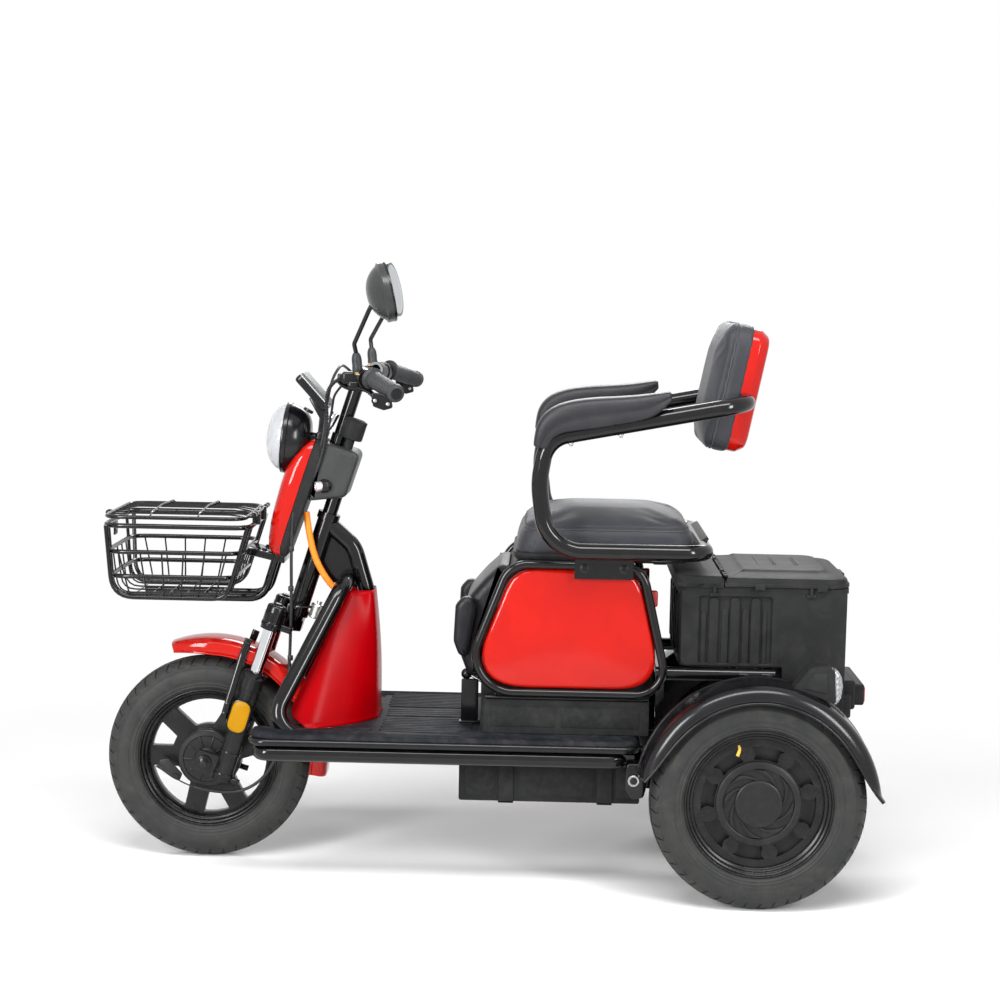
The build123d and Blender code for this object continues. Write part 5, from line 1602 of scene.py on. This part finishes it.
def makeFenders():
    bm, rims, plates = bmesh.new(), bmesh.new(), bmesh.new()
    start, end, count = fenderSet["start"], fenderSet["end"], fenderSet["rows"]
    centre = Vector(fenderSet["centre"])
    rings, low, inner = [], [], []
    for k in range(count + 1):
        a = start + (end - start) * k / count
        edge = abs(a - 88) / 85
        skirt = 197 + 31 * edge ** 8
        flare = 3.0 * edge ** 6
        section = [(229, 54), (229.5, 50), (229.5, 0), (229.3, -20), (228.4, -30), (225.6, -38.5), (221, -44.5),
                   (214.5, -48.8), (206, -51)]
        section = [(max(r, skirt + 0.2 * (r - 197)) + flare, y) for r, y in section] + [(skirt + flare, -51.5)]
        narrow, turn = 1 - 0.16 * edge ** 4, radians(a)
        ring = [centre + Vector((r * cos(turn), y * narrow, r * sin(turn))) for r, y in section]
        foot = ring[-1]
        rings.append(ring)
        low.append(foot)
        inner.append(ring[0])
    loftRings(bm, rings, closed=False)
    faceUp(bm)
    mirrorAll(bm)
    piece = newPiece("rear_fender_skins", bm, "glossBlack", chassis, ["rear_fenders"], sharp=60, outward=False)
    shell(piece, 3.0)
    addTube(rims, low, 3.0, 10)
    addTube(rims, inner, 2.2, 8)
    mirrorAll(rims)
    newPiece("rear_fender_rims", rims, "glossBlack", chassis)
    for x in (512, 556):   # brackets from the carrier to the fender's crown
        addBox(plates, (x - 9, -250, 428), (x + 9, -172, 432.5), 1.6, 2)
        addBolt(plates, (x, -236, 433), (0, 0, 1), 4.5, 3.4)
    addBox(plates, (356, -262, 300), (372, -172, 312), 3, 2)
    mirrorAll(plates)
    newPiece("fender_brackets", plates, "frameBlack", chassis)


def makeTailLamps():
    bm = bmesh.new()
    outline = [(592, 421), (600, 432), (623, 462), (632, 466), (664, 467), (672, 462), (676, 398),
                                   (650, 408), (620, 418)]
    addPlate(bm, roundCorners(outline, 5, 3), -311, -263, 4.5, 4)
    addPlate(bm, [(612, 428), (634, 456), (658, 458), (662, 418)], -313, -309, 1.6, 2)
    mirrorAll(bm)
    newPiece("tail_lamp_housings", bm, "stipplePlastic", chassis, ["tail_lamps"])
    bm = bmesh.new()
    rear = [(671, 462), (679, 461), (686, 448), (688, 430), (685, 410), (677, 398), (672, 399)]
    addPlate(bm, roundCorners(rear, 3, 3), -309, -265, 2.6, 3)
    mirrorAll(bm)
    newPiece("tail_lamp_lenses", bm, "lampLens", chassis)
    bm = bmesh.new()
    for z in range(408, 453, 11):
        for y in (-300, -287, -274):
            lathe(bm, [(0, 0), (4.4, 0), (4.8, 2), (2.5, 4.2), (0, 4.4)], local((676, y, z), (1, 0, 0)), 16)
    mirrorAll(bm)
    newPiece("tail_lamp_cells", bm, "lampSilver", chassis)


def makeBumper():
    bm = bmesh.new()
    addBox(bm, (708, -120, 352), (740, 120, 410), 6, 4)
    addBox(bm, (736, -104, 358), (760, 104, 400), 5, 4)
    addBox(bm, (712, -62, 300), (731.5, 62, 354), 3, 3)
    for side in (-1, 1):
        addBox(bm, (700, side * 132 - 16, 340), (728, side * 132 + 16, 386), 5, 3)
        addBolt(bm, (731.6, side * 45, 322), (1, 0, 0), 5, 3.6)
    newPiece("rear_lamp_bar", bm, "stipplePlastic", chassis, ["rear_bumper"])
    bm = bmesh.new()
    for side in (-1, 1):
        addBox(bm, (757, side * 34, 364), (762, side * 98, 394), 2, 3)
    newPiece("rear_red_lenses", bm, "signalRed", chassis)
    bm = bmesh.new()
    addBox(bm, (757, -28, 364), (761.5, 28, 394), 2, 3)
    addBox(bm, (729, -20, 338), (737, 20, 347), 2, 3)
    newPiece("rear_clear_lens", bm, "lampLens", chassis)


# deck, seat base and battery case

def makeDeck():
    half = [(312, 240), (-422, 240), (-440, 222), (-440, 185), (-330, 181), (-286, 150)]
    outline = evenOutline(half + [(x, -y) for x, y in reversed(half)],
                          [36, 16, 12, 10, 8, 14, 14, 8, 10, 12, 16, 36], 9)
    bm = bmesh.new()
    layered(bm, outline, [(9, 277), (5, 277.5), (4, 280), (4, 290), (1, 291.4), (0, 293), (1.2, 296.6), (3.6, 299.8),
                          (7, 301.4), (11, 302)])
    for v in bm.verts:     # horns rise a little at the front corners
        lift = max(0.0, min(1.0, (-372 - v.co.x) / 50)) * max(0.0, min(1.0, (v.co.z - 284) / 16))
        v.co.z += 6.5 * lift * lift * (3 - 2 * lift)
    newPiece("deck_mat", bm, "deckRubber", chassis, ["footboard"], sharp=50)
    bm = bmesh.new()
    for k in range(9):     # broad treads between the grooves
        y = 54 + 16 * k
        addBox(bm, (-190 - 3 * (k % 2), y + 2.4, 300), (-14, y + 13.6, 304), 1.3, 2)
    for k in range(5):     # fine ribs along each edge, and three shorter ribs towards the front
        y = 192 + 8 * k
        addBox(bm, (-366 + 6 * k, y - 1.7, 300), (292 - 4 * k, y + 1.7, 303.8), 1.2, 2)
    for k in range(3):
        addBox(bm, (-300 + 14 * k, 188 - 9 * k - 1.6, 300), (-206, 188 - 9 * k + 1.6, 303.6), 1.2, 2)
    mirrorAll(bm)
    for k in range(4):
        addBox(bm, (-190, -38 + 20 * k, 300), (-14, -22 + 20 * k, 304), 1.3, 2)
    newPiece("deck_treads", bm, "deckRubber", chassis)
    bm = bmesh.new()       # gloss trim round the lower edge
    line = [Vector((*p, 285)) for p in movedIn(outline, 3)]
    addTube(bm, line, 7.6, 14, closed=True)
    newPiece("deck_trim", bm, "glossBlack", chassis)


def makeSeatBase():
    bm = bmesh.new()
    plinth = evenOutline(rectangle(4, 333, 180), 9, 12)
    layered(bm, plinth, [(2, 302), (0, 303), (0, 366), (1, 369), (4, 370.4), (5, 372), (5.4, 375), (9, 376)])
    upper = [(4, 374), (4, 470), (54, 628), (304, 628), (340, 416), (333, 374)]
    addPlate(bm, roundCorners(upper, [2, 60, 30, 24, 60, 2], 6), -167, 167, 5, 3)
    for side in (-1, 1):    # rebate and shallow pressed panels on the plinth's sides
        for low, high in ((24, 150), (162, 314)):
            addBox(bm, (low, side * 179.4, 316), (high, side * 181.2, 356), 0.8, 2)
    newPiece("seat_plinth", bm, "stipplePlastic", chassis, ["seat_base"])
    bm = bmesh.new()
    for side in (-1, 1):
        addRod(bm, (14, side * 183, 374), (330, side * 183, 374), 3.4, steps=16)
        line = []
        for k in range(12 * 8 + 1):   # tension spring at the seat latch
            a = 2 * pi * k / 12
            line.append((30 + 46 * k / 96, side * 189 + 4.6 * cos(a), 382 + 4.6 * sin(a)))
        addTube(bm, line, 1.1, 6)
    newPiece("plinth_rods", bm, "glossBlack", chassis)


def makeFrontCover():
    outline = evenOutline([(56, 626), (36, 624), (6, 596), (-28, 556), (-40, 500), (-40, 440),
                                               (-24, 400), (8, 396), (8, 470)],
                          [6, 14, 40, 50, 50, 40, 26, 8, 40], 7)
    bm = bmesh.new()
    place = sideFrame()
    layered(bm, outline, [(22, -118), (12, -116), (5, -111), (1.4, -103), (0, -92), (0, 92), (1.4, 103), (5, 111),
                          (12, 116), (22, 118)], (), place)
    newPiece("seat_front_shell", bm, "seatCover", chassis, ["seat_front_cover"], sharp=60)
    bm = bmesh.new()
    for side in (-1, 1):     # padded lobes that bulge beside the tube loops
        lobe = evenOutline([(-36, 562), (-50, 546), (-53, 474), (-42, 446), (-24, 442), (-6, 540),
                                                (-18, 564)], [14, 14, 22, 14, 12, 20, 14], 7)
        at = sideFrame((0, side * 128, 0))
        layered(bm, lobe, [(12, -16), (4, -14), (0.6, -8), (0, 0), (0.6, 8), (4, 14), (12, 16)], (), at)
    newPiece("seat_front_lobes", bm, "seatCover", chassis, sharp=60)
    bm = bmesh.new()
    addBox(bm, (-37, -96, 303), (-3, -86, 392), 2.2, 3)
    addBox(bm, (-41, -99, 301), (1, -83, 309), 2, 2)
    addRod(bm, (-27, -90, 390), (-27, -90, 402), 4, steps=20)
    ball = [(11 * sin(pi * k / 20), -11 * cos(pi * k / 20)) for k in range(21)]
    lathe(bm, ball, Matrix.Translation((-27, -90, 402)), 32)
    newPiece("seat_lever", bm, "glossBlack", chassis)
    bm = bmesh.new()
    addRod(bm, (-18, -90, 399), (8, -90, 385), 3.6, steps=16)
    newPiece("seat_lever_link", bm, "chrome", chassis)


def makeBattery():
    bm = bmesh.new()
    outline = [(-37, 160), (319, 160), (319, 249.5), (-37, 249.5)]
    addPlate(bm, roundCorners(outline, [5, 5, 2, 2], 3), -150, 150, 3, 3)
    for x in (56, 250):
        addBox(bm, (x - 15, -153, 157), (x + 15, 153, 162), 1.2, 2)
        for side in (-1, 1):
            addBox(bm, (x - 15, side * 149, 158), (x + 15, side * 153, 249), 1.2, 2)
            addBolt(bm, (x, side * 153, 238), (0, side, 0), 4, 3)
    for side in (-1, 1):
        for low, high in ((-24, 34), (80, 228), (272, 308)):
            addBox(bm, (low, side * 149.4, 172), (high, side * 151, 236), 0.7, 2)
    newPiece("battery_case", bm, "stipplePlastic", chassis, ["battery_box"])


makeBox()
makeLid()
makeFenders()
makeTailLamps()
makeBumper()
makeDeck()
makeSeatBase()
makeFrontCover()
makeBattery()
print("rear, deck and seat base built")


# console, display, cables and the steering's small parts

smallSet = {
    "consoleOutline": [(-352, 735), (-335, 850), (-315, 852), (-247, 833), (-276, 744)],
    "consoleHalf": 54, "capPlace": (-263, -30, 880), "displayPlace": (-344, 0, 953),
    "hose": [(-356, -32, 712), (-347, -32, 640), (-318, -32, 580), (-286, -32, 548), (-268, -32, 500)],
    "brakeCable": [(-372, -52, 800), (-379, -58, 720), (-383, -58, 650), (-381, -58, 520), (-386, -58, 340),
                   (-404, -57, 215), (-452, -54, 152), (-520, -51, 136), (-576, -50, 150)],
}


def makeConsole():
    place = sideFrame()
    outline = evenOutline(smallSet["consoleOutline"], [6, 10, 8, 16, 14], 4)
    half = smallSet["consoleHalf"]
    edge = [(13, -half), (9, -half + 0.4), (5, -half + 1.8), (2.2, -half + 4.5), (0.6, -half + 8.5), (0, -half + 13)]
    bm = bmesh.new()
    layered(bm, outline, edge + [(inset, -height) for inset, height in reversed(edge)], (), place)
    newPiece("console_shell", bm, "consoleGrey", steering, ["console_box"], sharp=60)
    bm = bmesh.new()
    capFrame = local(smallSet["capPlace"], steeringAxis)
    lathe(bm, [(0, -58), (9.5, -58), (9.5, -12), (0, -12)], capFrame, 32)
    cap = [(0, -21), (19, -21), (22, -19.6), (23, -17), (23, 12), (22, 16), (19.6, 19.4), (16, 21), (0, 21.6)]
    lathe(bm, cap, capFrame, 48)
    boxesRound(bm, 28, (18.6, -1.1, 12), (23.2, 1.1, 18.5), 0.7, 2, capFrame)   # short grips round its shoulder
    newPiece("console_cap", bm, "stipplePlastic", steering)
    black, bright = bmesh.new(), bmesh.new()
    aim = Vector((-0.93, -0.36, -0.04))
    lathe(black, [(10, -1), (13, -1), (14, 0), (14, 2), (13, 3), (10, 3)], local((-318, -54, 767), (0, -1, 0)), 40,
          closed=True)
    lathe(black, [(0, -8), (11, -8), (12, -6), (12, 6), (11, 8), (0, 8)], local((-316, -56, 767), aim), 8)
    lathe(black, [(0, 12), (9.6, 12), (10.4, 13), (10.4, 17), (9.4, 18), (0, 18)],
          local((-348, -20, 928), (-0.47, 0, -0.88)), 24)
    lathe(bright, [(0, 8), (9.4, 8), (9.8, 9), (9.8, 19), (9, 20.4), (5, 20.8), (4.6, 19), (0, 19)],
          local((-316, -56, 767), aim), 32)
    newPiece("key_switch_body", black, "glossBlack", steering)
    newPiece("key_switch_cap", bright, "roseSilver", steering)
    bm = bmesh.new()
    key = local((-300, -20, 911), (-20, 0, -37))
    lathe(bm, [(0, 0), (8.4, 0), (9, 1), (9, 26), (8, 28), (8, 34), (6.4, 36), (6.4, 42), (0, 42)], key, 32)
    newPiece("key_cylinder", bm, "chrome", steering)


def makeDisplay():
    normal = Vector((0.74, 0, 0.67)).normalized()
    place = local(smallSet["displayPlace"], normal, (0, 1, 0))
    outline = [(-42, -44), (42, -44), (46, 44), (-46, 44)]
    parts = {"casing": ("glossBlack", [(8, -12), (3, -11), (0.6, -8), (0, -4), (0, 3), (1, 4)]),
             "edge": ("whiteEdge", [(1.4, 3.6), (0.4, 4), (0.4, 5.4), (1.4, 6)]),
             "face": ("displayGrey", [(2.4, 5.6), (1.4, 6), (1.4, 8.4), (2.4, 9.8), (5, 10.6)])}
    for name, (look, layers) in parts.items():
        bm = bmesh.new()
        layered(bm, evenOutline(outline, 9, 4), layers, (), place)
        newPiece(f"display_{name}", bm, look, steering, ["display"] if name == "casing" else [])
    bm = bmesh.new()
    stalk = [(-358, 942), (-334, 936), (-318, 912), (-314, 868), (-322, 852), (-338, 858), (-334, 900)]
    addPlate(bm, roundCorners(stalk, 4, 4), -14, 14, 2, 3)
    for z in (868, 884):
        addBolt(bm, (-326, -14, z), (0, -1, 0), 3.6, 2.8)
    newPiece("display_stalk", bm, "frameBlack", steering)


def makeCables():
    bm = bmesh.new()
    left = splinePath([(-283, -148, 984), (-300, -138, 974), (-312, -100, 945), (-313, -66, 890), (-322, -58, 830),
                       (-340, -60, 780), (-352, -56, 760)], 12)
    right = splinePath([(-283, 148, 984), (-296, 120, 1000), (-300, 60, 1004), (-312, 0, 975), (-318, -36, 920),
                        (-322, -52, 860), (-332, -48, 820)], 12)
    loom = splinePath([(-262, -120, 985), (-296, -90, 960), (-304, -60, 920), (-312, -44, 880), (-320, -40, 840)], 12)
    for line, radius in ((left, 3.1), (right, 2.9), (loom, 2.4)):
        addTube(bm, line, radius, 12)
    addTube(bm, splinePath(smallSet["brakeCable"], 12), 3.2, 12)
    addTube(bm, splinePath([(-576, -50, 150), (-606, -50, 158), (-640, -50, 186)], 8), 1.5, 8)
    for z in (640, 560, 420):
        lathe(bm, [(2.8, -5), (5, -5), (5.6, -4), (5.6, 4), (5, 5), (2.8, 5)], local((-382.5, -58, z), (0, 0, 1)), 16,
              closed=True)
    newPiece("control_cables", bm, "cableSleeve", steering, ["brake_cables"])
    bm = bmesh.new()          # coiled wrap over the left-hand cable
    line = resample(left, 0.9)
    for k, p in enumerate(line[8:-40]):
        along = (line[k + 9] - line[k + 8]).normalized()
        side = along.cross(Vector((0, 0, 1))).normalized()
        line[k + 8] = p + (side * cos(k * 0.75) + along.cross(side) * sin(k * 0.75)) * 3.5
    addTube(bm, line[8:-40], 0.8, 5)
    newPiece("cable_wrap", bm, "cableSleeve", steering)
    route = resample(splinePath(smallSet["hose"], 24), 2.0)
    bm = bmesh.new()          # corrugated hose: rings of two sizes in turn
    addTube(bm, route, [7.0 if k % 2 else 6.1 for k in range(len(route))], 20)
    hose = newPiece("orange_hose", bm, "hoseOrange", None, ["wiring_hose"], sharp=60)
    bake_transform(hose)


def coilLine(radius, length, turns, steps=20):  # a spring's line along local z
    return [(radius * cos(2 * pi * k / steps), radius * sin(2 * pi * k / steps), length * k / (turns * steps))
            for k in range(turns * steps + 1)]


def makeForkParts():
    bm = bmesh.new()
    for side in (-1, 1):
        for low, high, radius in ((506, 541, 20), (496, 508, 22)):
            place = steerFrame(low, 36.3, side * 66)
            tall = high - low
            lathe(bm, [(0, 0), (radius - 1.5, 0), (radius, 1.5), (radius, tall - 5), (radius - 2, tall - 1.5),
                       (radius - 5, tall), (0, tall)], place, 40)
        addBolt(bm, steerPoint(502, 36.3, side * 88), (0, side, 0), 4.4, 3.6)
        addBolt(bm, steerPoint(541, 36.3, side * 66), steeringAxis, 8, 4, "hex", washer=False)
        lathe(bm, [(14, 0), (23.4, 0), (24, 1), (24, 9), (21, 12), (15.5, 14), (14, 14)],
              steerFrame(386, 36.3, side * 66), 40, closed=True)   # dust wiper
        for along in (180, 226, 300):
            lathe(bm, [(19, -3), (20.6, -3), (21, -2), (21, 2), (20.6, 3), (19, 3)],
                  steerFrame(along, 36.3, side * 66), 40, closed=True)
        addRod(bm, steerPoint(172, 20, side * 66), steerPoint(172, 0, side * 66), 6, steps=20)
    newPiece("fork_caps", bm, "glossBlack", steering)
    bm = bmesh.new()        # fork clamp bridge and horn bracket
    for along, reach in ((500, 74), (798, 30)):
        place = steerFrame(along, 20, 0)
        addBox(bm, (-26, -reach, -7), (24, reach, 7), 4, 3, place)
    addBox(bm, (-374, -52, 520), (-336, -38, 524), 1.5, 2)
    newPiece("fork_bridge", bm, "frameBlack", steering)
    bm = bmesh.new()
    horn = local((-336, -45, 500), steeringAxis)
    lathe(bm, [(0, 0), (12, 0), (14.5, 2), (14.5, 6), (13.4, 7), (13.4, 22), (14.5, 23), (14.5, 27), (12, 30), (5, 31),
               (5, 36), (0, 36)], horn, 32)
    newPiece("horn", bm, "zincSteel", steering)
    amber, bezel = bmesh.new(), bmesh.new()
    oval = evenOutline(rectangle(-19, 19, 33), 30, 4)
    for side in (-1, 1):
        face = local((-481, side * 86, 303), (-0.1, side, 0), (0.954, 0, -0.299))
        layered(bezel, oval, [(4, -8), (0, -7), (-2.4, -3), (-2.6, 0), (-1.6, 1.6), (0, 2), (1, 1)], (), face)
        layered(amber, oval, [(1.2, 0), (0.6, 1.4), (1.6, 2.6), (4, 3.6)], [(0.7, 4.6), (0.4, 5.2), (0.12, 5.4)], face)
        addRod(bezel, (-481, side * 80, 303), (-481, side * 66, 303), 9, steps=24)
    newPiece("reflector_bezels", bezel, "glossBlack", steering)
    newPiece("reflector_lenses", amber, "amberLens", steering, sharp=60)


def makeAxleParts():
    place = sideFrame(wheelSet["frontCentre"])
    bm = bmesh.new()          # brake plate with its ribs, arm and cable stop
    lathe(bm, [(8, 34.5), (57, 34.5), (58, 35.5), (58, 41), (56, 43), (48, 44), (46, 42.6), (24, 42.6), (22, 46),
               (16, 48), (8, 48)], place, 96, closed=True)
    boxesRound(bm, 10, (22, -1.6, 41), (47, 1.6, 45), 1.2, 2, place)
    arm = [(-622, 168), (-606, 160), (-600, 176), (-628, 206), (-646, 204), (-650, 188)]
    addPlate(bm, roundCorners(arm, 7, 4), -51, -46, 1.5, 2)
    newPiece("brake_plate", bm, "castBlack", steering, ["front_axle"], sharp=35)
    bm = bmesh.new()
    addRod(bm, (-552, -92, 206.5), (-552, 92, 206.5), 7, steps=24)
    lathe(bm, [(0, 0), (5, 0), (5, 5), (0, 5)], local((-613, -51, 172), (0, -1, 0)), 6)
    lathe(bm, [(0, 0), (4, 0), (4, 14), (0, 14)], local((-640, -50, 186), (-0.85, 0, 0.5)), 12)
    newPiece("brake_pins", bm, "castBlack", steering)
    for name, look, body, slot, places, size in (
            ("axle_nuts", "glossBlack", steering, None, [(-552, 77, 206.5)], (9, 8)),
            ("pivot_bolts", "castBlack", chassis, "chrome", [(302, 256, 231)], (6.4, 6.5, "hex", False)),
            ("hoop_bolts", "castBlack", chassis, "frame_black", [(200, 206, 632), (276, 206, 632)], (6, 4, "cap"))):
        bm = bmesh.new()
        sideBolts(bm, places, *size)
        newPiece(name, bm, look, body)
    bm = bmesh.new()          # springs on the rear dampers
    for side in (-1, 1):
        low, high = Vector((529, side * 196, 262)), Vector((516, side * 196, 396))
        place = local(low + (high - low).normalized() * 4, high - low)
        addTube(bm, [place @ Vector(p) for p in coilLine(17.5, (high - low).length - 8, 7)], 3.8, 10)
    newPiece("damper_springs", bm, "glossBlack", chassis)
    bm = bmesh.new()
    for side in (-1, 1):
        lathe(bm, [(5.6, 0), (10.4, 0), (11, 0.8), (11, 3), (10, 4), (7, 4), (5.6, 3)],
              local((302, side * 256, 231), (0, side, 0)), 32, closed=True)
    newPiece("pivot_washers", bm, "zincSteel", chassis)
    bm = bmesh.new()
    for side in (-1, 1):
        arm = [(288, 262), (320, 262), (332, 236), (322, 196), (300, 192), (286, 214)]
        y = side * 250
        addPlate(bm, roundCorners(arm, 9, 4), min(y, y - side * 12), max(y, y - side * 12), 2.5, 3)
        addRod(bm, (302, side * 250, 231), (302, side * 190, 231), 8, steps=24)
    newPiece("pivot_plates", bm, "frameBlack", chassis)


makeConsole()
makeDisplay()
makeCables()
makeForkParts()
makeAxleParts()
print("small parts built")

print("all pieces built")
